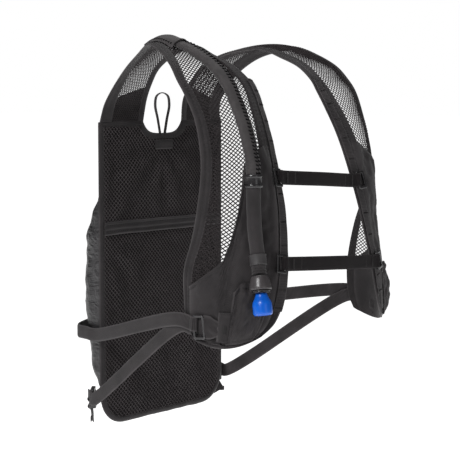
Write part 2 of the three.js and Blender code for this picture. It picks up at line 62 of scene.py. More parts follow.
def linear(code: str) -> tuple[float, float, float, float]:
    """Turns a colour from sRGB to linear light.

    Args:
        code: The colour as #rrggbb.

    Returns:
        Red, green, blue and alpha for a shader's socket.
    """
    shares = [int(code[i : i + 2], 16) / 255 for i in (1, 3, 5)]
    curve = [c / 12.92 if c <= 0.04045 else ((c + 0.055) / 1.055) ** 2.4 for c in shares]
    return (curve[0], curve[1], curve[2], 1.0)


def add_node(
    tree: bpy.types.NodeTree,
    kind: str,
    settings: dict[str | int, object] | None = None,
    links: dict[str | int, bpy.types.NodeSocket] | None = None,
) -> bpy.types.Node:
    """Adds a shader node.

    Args:
        tree: The material's node tree.
        kind: The node's type.
        settings: Values of its properties or of its sockets.
        links: Output sockets that feed its inputs.

    Returns:
        The new node.
    """
    node = tree.nodes.new(kind)
    for key, value in (settings or {}).items():
        if isinstance(key, str) and hasattr(node, key):
            setattr(node, key, value)
        else:
            node.inputs[key].default_value = value
    for key, source in (links or {}).items():
        tree.links.new(source, node.inputs[key])
    return node


Feed = bpy.types.NodeSocket | float


def calculate(
    tree: bpy.types.NodeTree, operation: str, *terms: Feed, clamp: bool = False
) -> bpy.types.NodeSocket:
    """Adds a calculation.

    Args:
        tree: The material's node tree.
        operation: The operation's name.
        terms: Numbers, or sockets that give them.
        clamp: Whether the result is kept from 0 to 1.

    Returns:
        The result's socket.
    """
    node = add_node(tree, "ShaderNodeMath", {"operation": operation, "use_clamp": clamp})
    for place, term in enumerate(terms):
        if isinstance(term, bpy.types.NodeSocket):
            tree.links.new(term, node.inputs[place])
        else:
            node.inputs[place].default_value = term
    return node.outputs[0]


def remap(
    tree: bpy.types.NodeTree,
    source: bpy.types.NodeSocket,
    to: tuple[float, float],
    limits: tuple[float, float] = (0.3, 0.7),
) -> bpy.types.NodeSocket:
    """Maps a socket's values between two limits onto another range."""
    settings = {"From Min": limits[0], "From Max": limits[1], "To Min": to[0], "To Max": to[1]}
    return add_node(tree, "ShaderNodeMapRange", settings, {"Value": source}).outputs[0]


def noise_on(tree: bpy.types.NodeTree, scale: float, detail: float, **more: float) -> bpy.types.NodeSocket:
    """Noise on the piece's own coordinates, its scale in waves a metre."""
    place = add_node(tree, "ShaderNodeTexCoord")
    settings = {"Scale": scale, "Detail": detail, **more}
    return add_node(tree, "ShaderNodeTexNoise", settings, {"Vector": place.outputs["Object"]}).outputs["Fac"]


def blend(
    tree: bpy.types.NodeTree,
    share: bpy.types.NodeSocket,
    low: bpy.types.NodeSocket | str,
    high: bpy.types.NodeSocket | str,
) -> bpy.types.NodeSocket:
    """Colour at a share of the way between two, each a socket or a colour as #rrggbb."""
    node = add_node(tree, "ShaderNodeMix", {"data_type": "RGBA"}, {0: share})
    for place, end in ((6, low), (7, high)):
        if isinstance(end, str):
            node.inputs[place].default_value = linear(end)
        else:
            tree.links.new(end, node.inputs[place])
    return node.outputs[2]


def bumped(
    tree: bpy.types.NodeTree,
    height: bpy.types.NodeSocket,
    strength: float,
    depth: float,
    normal: bpy.types.NodeSocket | None = None,
) -> bpy.types.NodeSocket:
    """Normal bent by a height, with a depth in mm, on top of another where one is given."""
    links = {"Height": height}
    if normal is not None:
        links["Normal"] = normal
    return add_node(tree, "ShaderNodeBump", {"Strength": strength, "Distance": depth * MM}, links).outputs[0]


def empty_material(name: str) -> bpy.types.Material:
    """New material with an empty node tree."""
    material = bpy.data.materials.new(name)
    material.use_nodes = True
    material.node_tree.nodes.clear()
    return material


def close_material(
    tree: bpy.types.NodeTree, settings: dict[str, float], **sources: bpy.types.NodeSocket
) -> None:
    """Adds the shader and the output.

    Args:
        tree: The material's node tree.
        settings: Values of the shader's sockets.
        sources: The sockets for colour, roughness and normal.
    """
    links = {"Base Color": sources["colour"], "Roughness": sources["roughness"], "Normal": sources["normal"]}
    shader = add_node(tree, "ShaderNodeBsdfPrincipled", settings, links)
    add_node(tree, "ShaderNodeOutputMaterial", links={"Surface": shader.outputs[0]})


def smooth_step(low: float, high: float, value: float) -> float:
    """Rises smoothly from 0 at low to 1 at high."""
    share = min(max((value - low) / (high - low), 0.0), 1.0)
    return share * share * (3 - 2 * share)


def ridge(value: float, centre: float, width: float) -> float:
    """Smooth bump of height 1 at a centre, gone at a width on either side."""
    share = abs(value - centre) / width
    return 0.0 if share >= 1 else 0.5 + 0.5 * math.cos(math.pi * share)


def ripple(point: Vector, size: float, seed: float = 0.0) -> float:
    """Smooth random value from about -1 to 1 at a point in mm, with waves of a size in mm."""
    return noise.noise(point / size + Vector((seed, 2 * seed, -seed)))


def mixed(values: Sequence[float], share: float) -> float:
    """Value at a share of the way along a short table."""
    at = min(max(share, 0.0) * (len(values) - 1), len(values) - 1.0001)
    low = int(at)
    return values[low] + (at - low) * (values[low + 1] - values[low])


def spline(points: Sequence[Vector], share: float) -> Vector:
    """Point on a centripetal Catmull-Rom curve.

    Args:
        points: The points that the curve goes through.
        share: The place along it, from 0 to 1, in equal parts for each span.

    Returns:
        The point.
    """
    last = len(points) - 1
    at = min(max(share, 0.0), 1.0) * last
    low = min(int(at), last - 1)
    weight = at - low
    start, end = points[low], points[low + 1]
    before = points[low - 1] if low else 2 * points[0] - points[1]
    after = points[low + 2] if low + 2 <= last else 2 * points[last] - points[last - 1]
    gaps = [max((b - a).length ** 0.5, 1e-4) for a, b in ((before, start), (start, end), (end, after))]
    first = (start - before) / gaps[0] - (end - before) / (gaps[0] + gaps[1]) + (end - start) / gaps[1]
    second = (end - start) / gaps[1] - (after - start) / (gaps[1] + gaps[2]) + (after - end) / gaps[2]
    first, second = first * gaps[1], second * gaps[1]
    cube = 2 * start - 2 * end + first + second
    square = 3 * end - 3 * start - 2 * first - second
    return start + weight * (first + weight * (square + weight * cube))


def spline_run(points: Sequence[Vector], share: float) -> Vector:
    """Direction of the curve through some points at a share along it."""
    step = 0.0005
    run = spline(points, min(share + step, 1.0)) - spline(points, max(share - step, 0.0))
    return run.normalized()


# Finishes


class Weave(Enum):
    """How the threads of a cloth lie."""

    PLAIN = "plain"
    RIB = "rib"
    RIPSTOP = "ripstop"
    KNIT = "knit"


@dataclass(frozen=True)
class ClothFinish:
    """Woven or knitted nylon. The threads follow the piece's weave attribute, in millimetres.

    Its first value runs across the piece, its second along it, and its third is 1 at an edge. The darker
    colour between the threads is painted shade, and the lighter colour at the edges is wear together with
    painted highlight.
    """

    name: str
    slot: str
    thread: str
    # colour in the hollows between the threads: painted shade (in the ripstop, the cloth between its heavier
    # grid threads)
    hollow: str
    # lighter colour at the edges: wear together with painted highlight
    edge_tint: str
    weave: Weave
    pitch: float
    relief: float
    roughness: float
    sheen: float
    mottle: float = 26.0
    gloss: float = 0.1
    crinkle: float = 0.0

    def _waves(
        self, tree: bpy.types.NodeTree, source: bpy.types.NodeSocket, pitch: float
    ) -> bpy.types.NodeSocket:
        """Ridges from -1 to 1 along one coordinate, a pitch in mm apart."""
        return calculate(tree, "SINE", calculate(tree, "MULTIPLY", source, 2 * math.pi / pitch))

    def _pattern(
        self, tree: bpy.types.NodeTree, across: bpy.types.NodeSocket, along: bpy.types.NodeSocket
    ) -> bpy.types.NodeSocket:
        """Height of the threads, from 0 between them to 1 on them."""
        if self.weave is Weave.KNIT:
            across, along = calculate(tree, "ADD", across, along), calculate(tree, "SUBTRACT", across, along)
        weft_pitch = self.pitch * (0.8 if self.weave is Weave.RIB else 1.0)
        warp, weft = self._waves(tree, along, self.pitch), self._waves(tree, across, weft_pitch)
        low = -1.0
        if self.weave is Weave.RIB:
            both = calculate(tree, "MULTIPLY_ADD", weft, 0.3, warp)
        elif self.weave is Weave.RIPSTOP:
            both = calculate(tree, "MAXIMUM", warp, weft)
            low = 0.86
        else:
            both = calculate(tree, "MULTIPLY", warp, weft)
        return remap(tree, both, (0.0, 1.0), (low, 1.0))

    def build(self) -> bpy.types.Material:
        """Makes the material.

        Returns:
            The material, with colour, painted shade between the threads, wear and painted highlight at the
            edges, roughness and bump from its weave.
        """
        material = empty_material(self.name)
        tree = material.node_tree
        coords = add_node(tree, "ShaderNodeAttribute", {"attribute_name": "weave"})
        axes = add_node(tree, "ShaderNodeSeparateXYZ", links={0: coords.outputs["Vector"]})
        threads = self._pattern(tree, axes.outputs["X"], axes.outputs["Y"])
        mottle = noise_on(tree, 1000 / self.mottle, 4.0, Roughness=0.6)
        fuzz = noise_on(tree, 900.0, 2.0)
        # Painted shade: the hollows between the threads take the darker hollow colour.
        cloth = blend(tree, threads, self.hollow, self.thread)
        tone = {0: cloth, "Scale": remap(tree, mottle, (0.72, 1.25))}
        toned = add_node(tree, "ShaderNodeVectorMath", {"operation": "SCALE"}, tone).outputs[0]
        # Painted highlight together with wear: the cloth turns to its lighter edge colour where the weave's
        # third value marks an edge.
        edge_mask = calculate(tree, "MULTIPLY", axes.outputs["Z"], mottle)
        normal = bumped(tree, calculate(tree, "MULTIPLY_ADD", fuzz, 0.3, threads), 0.8, self.relief)
        if self.crinkle:
            crease = noise_on(tree, 62.0, 3.0, Roughness=0.45, Distortion=1.6)
            normal = bumped(tree, crease, 0.9, self.crinkle, normal)
        close_material(
            tree,
            {
                "Sheen Weight": self.sheen,
                "Sheen Roughness": 0.5,
                "IOR": 1.5,
                "Specular IOR Level": self.gloss,
            },
            colour=blend(tree, edge_mask, toned, self.edge_tint),
            roughness=remap(tree, mottle, (self.roughness * 0.88, self.roughness * 1.08)),
            normal=normal,
        )
        return material


@dataclass(frozen=True)
class MouldedFinish:
    """Moulded plastic, rubber or single thread, with a fine grain on Object coordinates."""

    name: str
    slot: str
    colour: str
    edge_tint: str
    roughness: float
    grain: float
    relief: float
    ior: float = 1.5
    coat: float = 0.0
    gloss: float = 0.5

    def build(self) -> bpy.types.Material:
        """Makes the material.

        Returns:
            The material, with colour, roughness and bump from its grain.
        """
        material = empty_material(self.name)
        tree = material.node_tree
        grain = noise_on(tree, 1000 / self.grain, 3.0, Roughness=0.55)
        clouds = noise_on(tree, 90.0, 3.0)
        edges = add_node(tree, "ShaderNodeNewGeometry")
        edge = remap(tree, edges.outputs["Pointiness"], (0.0, 1.0), (0.52, 0.62))
        edge_mask = calculate(tree, "MULTIPLY", edge, clouds)
        edge_tint = calculate(tree, "ADD", edge_mask, remap(tree, clouds, (0.0, 0.22)), clamp=True)
        close_material(
            tree,
            {
                "IOR": self.ior,
                "Coat Weight": self.coat,
                "Coat Roughness": 0.12,
                "Specular IOR Level": self.gloss,
            },
            colour=blend(tree, edge_tint, self.colour, self.edge_tint),
            roughness=remap(tree, grain, (self.roughness * 0.8, self.roughness * 1.2)),
            normal=bumped(tree, grain, 0.6, self.relief),
        )
        return material


# In each cloth finish the second colour, between the threads, is painted shade, and the third, at the edges,
# is wear together with painted highlight.
# Ribbed nylon webbing, woven. Its ribs are drawn coarser than life, 1.9 mm apart, so that they show.
WEBBING = ClothFinish(
    "nylon_webbing_woven", "webbing", "#373435", "#211f20", "#4c494a", Weave.RIB, 1.9, 0.2, 0.7, 0.08
)
# The same webbing for the chest straps, in a nearly black copy: its darkness is painted shade.
SHADED_CHEST_WEBBING = ClothFinish(
    "nylon_chest_webbing_painted_shade", "webbing", "#1e1b1c", "#121011", "#2d2a2b", Weave.RIB, 1.9, 0.2, 0.7, 0.04,
    gloss=0.06,
)
# Narrow nylon binding, woven and folded over the edges: smooth, a little lighter along its edges, where wear
# and painted highlight are mixed in the colour.
BINDING = ClothFinish(
    "nylon_binding_woven", "binding", "#2f2c2d", "#211f20", "#474445", Weave.PLAIN, 1.8, 0.12, 0.66, 0.1
)
# Brushed nylon cloth over thin foam: matt, with a plain weave drawn coarser than life.
PAD_CLOTH = ClothFinish(
    "nylon_pad_cloth_woven", "pad_cloth", "#312e2f", "#242223", "#403d3e", Weave.PLAIN, 2.0, 0.12, 0.72, 0.12
)
# Smooth sleeve cloth of the drinking tube and its hood: a shade paler, with a plain weave.
SLEEVE_CLOTH = ClothFinish(
    "nylon_sleeve_cloth_woven", "pad_cloth", "#3d3a3b", "#323030", "#4a4748", Weave.PLAIN, 1.8, 0.08, 0.6,
    0.15,
)
# Coated ripstop nylon: slick, with a 5 mm grid of heavier threads.
RIPSTOP = ClothFinish(
    "coated_ripstop_nylon", "ripstop", "#222022", "#131213", "#302e30", Weave.RIPSTOP, 5.2, 0.2, 0.34, 0.0,
    gloss=0.45,
    crinkle=2.3,
)
# Knitted backing behind the open mesh: nearly black and dull.
BACKING = ClothFinish(
    "knitted_backing", "net", "#1d1a1b", "#0e0c0d", "#242122", Weave.KNIT, 3.4, 0.4, 0.9, 0.04, gloss=0.06
)
# Twisted polyester thread of the nets: dark with a faint gloss.
NET_THREAD = MouldedFinish("polyester_net_thread", "net", "#171415", "#2d292a", 0.6, 0.9, 0.12, gloss=0.14)
# Thread of the panel's mesh: a little paler, so that its open cells show on the backing.
PANEL_THREAD = MouldedFinish(
    "polyester_panel_mesh_thread", "net", "#2e2a2b", "#3c3839", 0.6, 0.9, 0.12, gloss=0.2
)
# Heavy thread of the whip stitches along the sleeve: black and dull.
WHIP_THREAD = MouldedFinish("heavy_whip_thread", "binding", "#050405", "#0d0b0c", 0.8, 0.5, 0.08, gloss=0.05)
# Bonded sewing thread: a shade darker than the cloth, with a faint gloss along each stitch.
SEWING_THREAD = MouldedFinish(
    "bonded_sewing_thread", "binding", "#121011", "#242122", 0.5, 0.5, 0.08, gloss=0.25
)
# Acetal fittings, injection moulded: dark, satin, lighter along rubbed edges.
ACETAL = MouldedFinish("acetal_moulded", "black_plastic", "#171617", "#3c3a3c", 0.24, 0.7, 0.03, 1.48)
# Grey cap of the mouthpiece, moulded polypropylene.
GREY_CAP = MouldedFinish("polypropylene_cap_moulded", "grey_cap", "#343132", "#575355", 0.34, 0.8, 0.03, 1.49)
# Rubber loop of the lower keeper, moulded: black and dull.
MOULDED_LOOP = MouldedFinish("rubber_loop_moulded", "black_plastic", "#262425", "#454244", 0.6, 0.9, 0.05)
# Silicone of the bite valve: bright, soft to the eye, with a thin gloss.
SILICONE = MouldedFinish(
    "silicone_moulded", "valve_silicone", "#0350b4", "#1470d8", 0.32, 1.4, 0.03, 1.41, 0.12, 0.4
)


@dataclass
class Workroom:
    """Keeps the finishes that are already made, and puts each piece on the body."""

    made: dict[str, bpy.types.Material] = field(default_factory=dict)

    def material(self, finish: ClothFinish | MouldedFinish) -> bpy.types.Material:
        """The finish's material, made the first time it is asked for."""
        if finish.name not in self.made:
            self.made[finish.name] = finish.build()
        return self.made[finish.name]

    def fit(
        self, piece: bpy.types.Object, finish: ClothFinish | MouldedFinish, *nodes: str
    ) -> bpy.types.Object:
        """Dresses a piece and puts it on the body.

        Args:
            piece: The finished piece.
            finish: What it is made of.
            nodes: The CAD nodes that it stands for.

        Returns:
            The piece.
        """
        piece.data.materials.clear()
        piece.data.materials.append(self.material(finish))
        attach(piece, "root")
        if nodes:
            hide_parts(*nodes)
        side = sum(face.area for face in piece.data.polygons) / 2
        log.info("%s: %d faces, %.5f m2 a side, %s", piece.name, len(piece.data.polygons), side, finish.name)
        return piece


ROOM = Workroom()


# Meshes of cloth, webbing and thread


def make_piece(
    name: str,
    points: Sequence[Vector],
    faces: Sequence[Sequence[int]],
    weave: Sequence[Sequence[float]] | None = None,
    smooth_angle: float = 50.0,
) -> bpy.types.Object:
    """Makes an object from points in millimetres.

    Args:
        name: The piece's name.
        points: Its points, in mm.
        faces: Its faces, by the points' numbers.
        weave: Across, along and edge value of each point.
        smooth_angle: The angle in degrees up to which edges are shaded smooth.

    Returns:
        The object, at the origin, with its faces turned outwards.
    """
    mesh = bpy.data.meshes.new(name)
    mesh.from_pydata([p * MM for p in points], [], faces)
    if weave is not None:
        layer = mesh.attributes.new("weave", "FLOAT_VECTOR", "POINT")
        layer.data.foreach_set("vector", [value for row in weave for value in row])
    body = bmesh.new()
    body.from_mesh(mesh)
    bmesh.ops.recalc_face_normals(body, faces=body.faces)
    body.to_mesh(mesh)
    body.free()
    piece = bpy.data.objects.new(name, mesh)
    bpy.context.scene.collection.objects.link(piece)
    bpy.ops.object.select_all(action="DESELECT")
    bpy.context.view_layer.objects.active = piece
    piece.select_set(True)
    bpy.ops.object.shade_smooth_by_angle(angle=math.radians(smooth_angle))
    piece.select_set(False)
    return piece


def loft(
    name: str,
    rings: Sequence[Sequence[Vector]],
    weave: Sequence[Sequence[Sequence[float]]],
    closed: bool = False,
    flat: bool = True,
    smooth_angle: float = 50.0,
) -> bpy.types.Object:
    """Skins rings of equally many points.

    Args:
        name: The piece's name.
        rings: The rings, each closed on itself, in mm.
        weave: The weave values of each ring's points.
        closed: Whether the last ring joins the first.
        flat: Whether an end is a flat sheet's, closed by strips, or a tube's, closed by one face.
        smooth_angle: The angle in degrees up to which edges are shaded smooth.

    Returns:
        The closed piece.
    """
    count = len(rings[0])
    total = len(rings)
    faces: list[tuple[int, ...]] = []
    for ring in range(total if closed else total - 1):
        here, there = ring * count, ((ring + 1) % total) * count
        for i in range(count):
            j = (i + 1) % count
            faces.append((here + i, here + j, there + j, there + i))
    if not closed:
        for start in (0, (total - 1) * count):
            if not flat:
                faces.append(tuple(range(start, start + count)))
                continue
            half = count // 2 - 1
            for i in range(half - 1):
                faces.append((start + i, start + i + 1, start + 2 * half - i - 1, start + 2 * half - i))
            faces.append((start + half - 1, start + half, start + half + 1))
            faces.append((start, start + 2 * half, start + 2 * half + 1))
    points = [p for ring in rings for p in ring]
    return make_piece(name, points, faces, [w for row in weave for w in row], smooth_angle)


def cloth(
    name: str,
    place: Place,
    under: Height | float,
    over: Height | float,
    rows: int,
    columns: int | Sequence[float],
    closed: bool = False,
) -> bpy.types.Object:
    """Closed sheet with rolled edges between two heights over a face.

    Args:
        name: The piece's name.
        place: Gives the point at a share along, a share across and a height, in mm.
        under: Height of the lower side.
        over: Height of the upper side.
        rows: Number of rows along it.
        columns: Number of columns across it, or their shares.
        closed: Whether its far end joins its near end.

    Returns:
        The sheet.
    """
    low = under if callable(under) else lambda a, b: under
    high = over if callable(over) else lambda a, b: over
    shares = columns if not isinstance(columns, int) else [i / columns for i in range(columns + 1)]
    rings: list[list[Vector]] = []
    weave: list[list[tuple[float, float, float]]] = []
    length = 0.0
    previous: Vector | None = None
    for row in range(rows if closed else rows + 1):
        a = row / rows
        middle = place(a, 0.5, low(a, 0.5))
        length += (middle - previous).length if previous is not None else 0.0
        previous = middle
        width = (place(a, 1.0, low(a, 1.0)) - place(a, 0.0, low(a, 0.0))).length
        top, bottom = [], []
        for b in shares:
            depth = high(a, b) - low(a, b)
            tuck = 0.28 * depth * max(0.0, 1 - min(b, 1 - b) * width / max(depth, 0.1))
            top.append(place(a, b, high(a, b) - tuck))
            bottom.append(place(a, b, low(a, b) + tuck))
        edge_out = 0.25 * (high(a, 0.0) - low(a, 0.0)) / max(width, 1.0)
        left = place(a, -edge_out, 0.5 * (high(a, 0.0) + low(a, 0.0)))
        right = place(a, 1 + edge_out, 0.5 * (high(a, 1.0) + low(a, 1.0)))
        rings.append([*top, right, *reversed(bottom), left])
        # The third value is 1 at the edges, where the cloth finishes paint wear together with highlight.
        threads = [(b * width, length, smooth_step(0.8, 1.0, abs(2 * b - 1))) for b in shares]
        weave.append([*threads, (width, length, 1.0), *reversed(threads), (0.0, length, 1.0)])
    return loft(name, rings, weave, closed)


def webbing(
    name: str,
    path: Sequence[Vector],
    width: float,
    thickness: float,
    steps: int,
    broadside: Vector | Callable[[float], Vector] = UP,
    wave: float = 0.0,
) -> bpy.types.Object:
    """Flat webbing along a path, its width as near to a given direction as its run allows.

    Args:
        name: The piece's name.
        path: Points that it goes through, in mm.
        width: Its width, in mm.
        thickness: Its thickness, in mm.
        steps: Number of rows along it.
        broadside: The direction that its width keeps to, or one for each share along it.
        wave: How far its two edges stray from flat, in mm.

    Returns:
        The webbing.
    """

    def place(a: float, b: float, height: float) -> Vector:
        run = spline_run(path, a)
        keep = broadside(a) if callable(broadside) else broadside
        wide = (keep - keep.dot(run) * run).normalized()
        through = run.cross(wide)
        point = spline(path, a) + wide * ((b - 0.5) * width) + through * height
        stray = wave * (2 * b - 1) ** 2 * ripple(spline(path, a) + wide * (40 * b), 34.0, 3.1)
        return point + through * stray

    columns = [0, 0.04, 0.12, 0.3, 0.5, 0.7, 0.88, 0.96, 1]
    return cloth(name, place, -thickness / 2, thickness / 2, steps, columns)


def resample(path: Sequence[Sewn], pitch: float) -> list[tuple[Vector, Vector, Vector]]:
    """Points at an even pitch along a path, each with its normal and its run."""
    found: list[tuple[Vector, Vector, Vector]] = []
    carried = 0.5 * pitch
    for (start, normal), (end, _) in zip(path, path[1:]):
        span = (end - start).length
        if span < 1e-6:
            continue
        run = (end - start) / span
        while carried <= span:
            found.append((start + run * carried, normal, run))
            carried += pitch
        carried -= span
    return found


def stitches(
    name: str,
    lines: Sequence[Sequence[Sewn]],
    pitch: float = 3.4,
    length: float = 2.3,
    width: float = 0.7,
    turned: float = 0.0,
) -> bpy.types.Object:
    """Rows of small stitches, each a low ridge of thread.

    Args:
        name: The piece's name.
        lines: The seams, each as points with the cloth's normal, in mm.
        pitch: Distance from stitch to stitch, in mm.
        length: Length of a stitch, in mm.
        width: Width of the thread, in mm.
        turned: Angle of a stitch to its seam, in degrees.

    Returns:
        All the stitches as one piece.
    """
    points: list[Vector] = []
    faces: list[tuple[int, ...]] = []
    lean = math.radians(turned)
    for line in lines:
        for point, normal, run in resample(line, pitch):
            aside = normal.cross(run).normalized()
            lie = (run * math.cos(lean) + aside * math.sin(lean)) * (length / 2)
            side = normal.cross(lie).normalized() * (width / 2)
            base = len(points)
            foot = point - normal * 0.15
            crown = point + normal * (0.55 * width)
            points += [foot - lie - side, foot + lie - side, foot + lie + side, foot - lie + side]
            points += [crown - lie * 0.6, crown + lie * 0.6]
            corners = [(0, 1, 5, 4), (1, 2, 5), (2, 3, 4, 5), (3, 0, 4), (3, 2, 1, 0)]
            faces += [tuple(base + k for k in face) for face in corners]
    return make_piece(name, points, faces, None, 80.0)


def net(
    name: str,
    knot: Callable[[int, int], Sewn | None],
    columns: int,
    rows: int,
    thread: float,
    flat: float = 0.6,
) -> bpy.types.Object:
    """Open mesh of threads that run both ways on the slant between knots.

    Args:
        name: The piece's name.
        knot: Gives the place and normal of a knot by its column and row, or nothing.
        columns: Number of columns.
        rows: Number of rows.
        thread: Width of a thread, in mm.
        flat: Depth of a thread as a share of its width.

    Returns:
        The net, each thread a slim closed prism.
    """
    knots = {(i, j): knot(i, j) for j in range(rows + 1) for i in range(j % 2, columns + 1, 2)}
    points: list[Vector] = []
    faces: list[tuple[int, ...]] = []
    for (i, j), start in knots.items():
        for step in (-1, 1):
            end = knots.get((i + step, j + 1))
            if start is None or end is None:
                continue
            normal = (start[1] + end[1]).normalized()
            run = (end[0] - start[0]).normalized()
            aside = normal.cross(run).normalized() * (thread / 2)
            rise = normal * (thread * flat)
            base = len(points)
            for place in (start[0] - run * 0.25, end[0] + run * 0.25):
                points += [place - aside - rise * 0.5, place + aside - rise * 0.5, place + rise * 0.5]
            sides = [(0, 1, 4, 3), (1, 2, 5, 4), (2, 0, 3, 5), (2, 1, 0), (3, 4, 5)]
            faces += [tuple(base + k for k in face) for face in sides]
    return make_piece(name, points, faces, None, 80.0)


# Pitch, length and width of a bar tack's stitches in mm, and their angle to it.
BAR_TACK = (1.1, 2.6, 0.9, 80)


# Shoulder straps

STRAP_COLUMNS = ("neckX", "neckY", "neckZ", "armX", "armY", "armZ", "bow", "sag", "neckBand", "armBand")
STRAP_SECTIONS = (
    (0.22, 1.0, -0.267, 0.69, 1.0, -0.267, 0, 0, 0.7, 1),
    (0.21, 0.96, -0.19, 0.665, 0.965, -0.205, 0.04, 0, 0.7, 1),
    (0.22, 0.865, -0.13, 0.657, 0.85, -0.147, 0.1, 0, 0.7, 1),
    (0.23, 0.74, -0.077, 0.663, 0.655, -0.083, 0.2, 0, 0.7, 1),
    (0.26, 0.5, -0.034, 0.7, 0.42, -0.034, 0.28, 0, 0.7, 1),
    (0.314, 0.235, -0.012, 0.785, 0.21, -0.01, 0.3, 0, 0.8, 0.95),
    (0.36, 0, -0.008, 0.866, 0.01, -0.004, 0.25, 0, 0.9, 0.8),
    (0.39, -0.19, -0.039, 0.913, -0.137, -0.028, 0.25, 0, 1, 0.65),
    (0.384, -0.36, -0.07, 0.97, -0.286, -0.07, 0.25, 0, 1, 0.55),
    (0.366, -0.497, -0.114, 1.0, -0.385, -0.12, 0.27, 0, 1, 0.5),
    (0.36, -0.57, -0.158, 1.0, -0.46, -0.167, 0.4, 0, 1, 0.5),
    (0.378, -0.646, -0.222, 0.983, -0.534, -0.24, 0.5, 0, 1, 0.5),
    (0.4, -0.733, -0.305, 0.983, -0.584, -0.322, 0.6, 0, 1, 0.5),
    (0.42, -0.814, -0.405, 0.983, -0.6, -0.417, 0.66, 0, 1, 0.5),
    (0.442, -0.907, -0.544, 0.977, -0.553, -0.55, 0.72, 0, 1, 0.5),
    (0.47, -0.957, -0.655, 0.965, -0.49, -0.644, 0.77, 0, 1, 0.48),
    (0.506, -0.994, -0.76, 0.977, -0.43, -0.739, 0.88, 0, 1, 0.46),
    (0.552, -1.0, -0.847, 0.965, -0.416, -0.82, 0.94, 0.005, 1, 0.45),
    (0.622, -0.98, -0.914, 0.96, -0.435, -0.912, 0.85, 0.028, 0.9, 0.4),
    (0.71, -0.938, -0.953, 0.95, -0.5, -0.968, 0.57, 0.048, 0.8, 0.4),
)
LAST_SECTION = len(STRAP_SECTIONS) - 1
PAD_EDGE = ((0, 12.3), (0.28, 12.5), (0.53, 12.9), (0.6, 14.1), (0.66, 15.6), (0.8, 16.05), (1, 16.65))


@dataclass
class Spot:
    """A place on a strap with its directions."""

    point: Vector
    normal: Vector
    over: Vector
    up: Vector


def sewn(spots: Sequence[Spot]) -> list[Sewn]:
    """A seam through some places: their points and normals."""
    return [(spot.point, spot.normal) for spot in spots]


@dataclass
class StrapForm:
    """The form of one shoulder strap, as a face over stations and shares across it."""

    name: str
    side: int
    half_width: float = 172.0
    front_depth: float = 161.0
    back_depth: float = 119.0
    drop: float = 360.0
    bow: float = 26.0
    neck_band: float = 12.0
    arm_band: float = 20.0
    seam_gap: float = 0.8
    edges: dict[tuple[str, float], Vector] = field(default_factory=dict)

    def column(self, name: str, station: float) -> float:
        """Smooth value of one column of the table at a station between two sections."""
        at = min(max(station, 0.0), LAST_SECTION)
        i = min(int(at), LAST_SECTION - 1)
        place = STRAP_COLUMNS.index(name)
        a, b, c, d = (STRAP_SECTIONS[min(max(k, 0), LAST_SECTION)][place] for k in (i - 1, i, i + 1, i + 2))
        t = at - i
        return b + 0.5 * t * (c - a + t * (2 * a - 5 * b + 4 * c - d + t * (3 * (b - c) + d - a)))

    def edge(self, edge: str, station: float) -> Vector:
        """Point of the neck or arm edge at a station."""
        key = (edge, round(station, 6))
        if key not in self.edges:
            y = self.column(edge + "Y", station)
            depth = self.back_depth if y > 0 else self.front_depth
            x, z = self.column(edge + "X", station), self.column(edge + "Z", station)
            self.edges[key] = Vector((x * self.half_width, y * depth, z * self.drop))
        return self.edges[key]

    def face(self, station: float, across: float) -> Vector:
        """Point of the left strap's inner face, from the neck edge (0) to the arm edge (1)."""
        neck = self.edge("neck", station)
        chord = self.edge("arm", station) - neck
        step = 0.25
        run = self.edge("neck", station + step) + self.edge("arm", station + step)
        run = run - self.edge("neck", station - step) - self.edge("arm", station - step)
        outward = run.cross(chord).normalized()
        arch = 4 * across * (1 - across)
        point = neck + chord * across + outward * (arch * self.column("bow", station) * self.bow)
        return point - UP * (arch * self.column("sag", station) * self.drop)

    def spot(self, station: float, across: float, height: float) -> Spot:
        """Place and directions at a height over the inner face, on this strap's own side."""
        step = 0.02
        low, high = max(station - step, 0.0), min(station + step, float(LAST_SECTION))
        along = self.face(high, across) - self.face(low, across)
        over = self.face(station, across + step) - self.face(station, across - step)
        normal = along.cross(over).normalized()
        point = self.face(station, across) + normal * height
        here = (point, normal, over.normalized(), -along.normalized())
        return Spot(*[Vector((v.x * self.side, v.y, v.z)) for v in here])

    def width(self, station: float) -> float:
        """Distance from the neck edge to the arm edge."""
        return (self.edge("neck", station) - self.edge("arm", station)).length

    def neck_share(self, station: float) -> float:
        """Share across at which the neck band ends."""
        return self.column("neckBand", station) * self.neck_band / self.width(station)

    def arm_share(self, station: float) -> float:
        """Share across at which the arm band starts."""
        return 1 - self.column("armBand", station) * self.arm_band / self.width(station)

    def between(self, station: float, share: float, spare: float = 0.0) -> float:
        """Share across the strap of a share between its two bands, with a seam allowance in mm."""
        gap = (self.seam_gap - spare) / self.width(station)
        low, high = self.neck_share(station) + gap, self.arm_share(station) - gap
        return low + (high - low) * share

    def line(self, across: Callable[[float], float], stations: Sequence[float], height: float) -> list[Sewn]:
        """A seam along the strap: points and normals at some stations."""
        return sewn([self.spot(s, across(s), height) for s in stations])


def span(start: float, end: float, count: int) -> list[float]:
    """Evenly spaced values, both ends included."""
    return [start + (end - start) * i / count for i in range(count + 1)]


def pad_edge_station(across: float) -> float:
    """Station where the cloth pad starts, from the neck band (0) to the arm band (1)."""
    for (low, start), (high, end) in zip(PAD_EDGE, PAD_EDGE[1:]):
        if across <= high:
            return start + (end - start) * max(across - low, 0.0) / (high - low)
    return PAD_EDGE[-1][1]


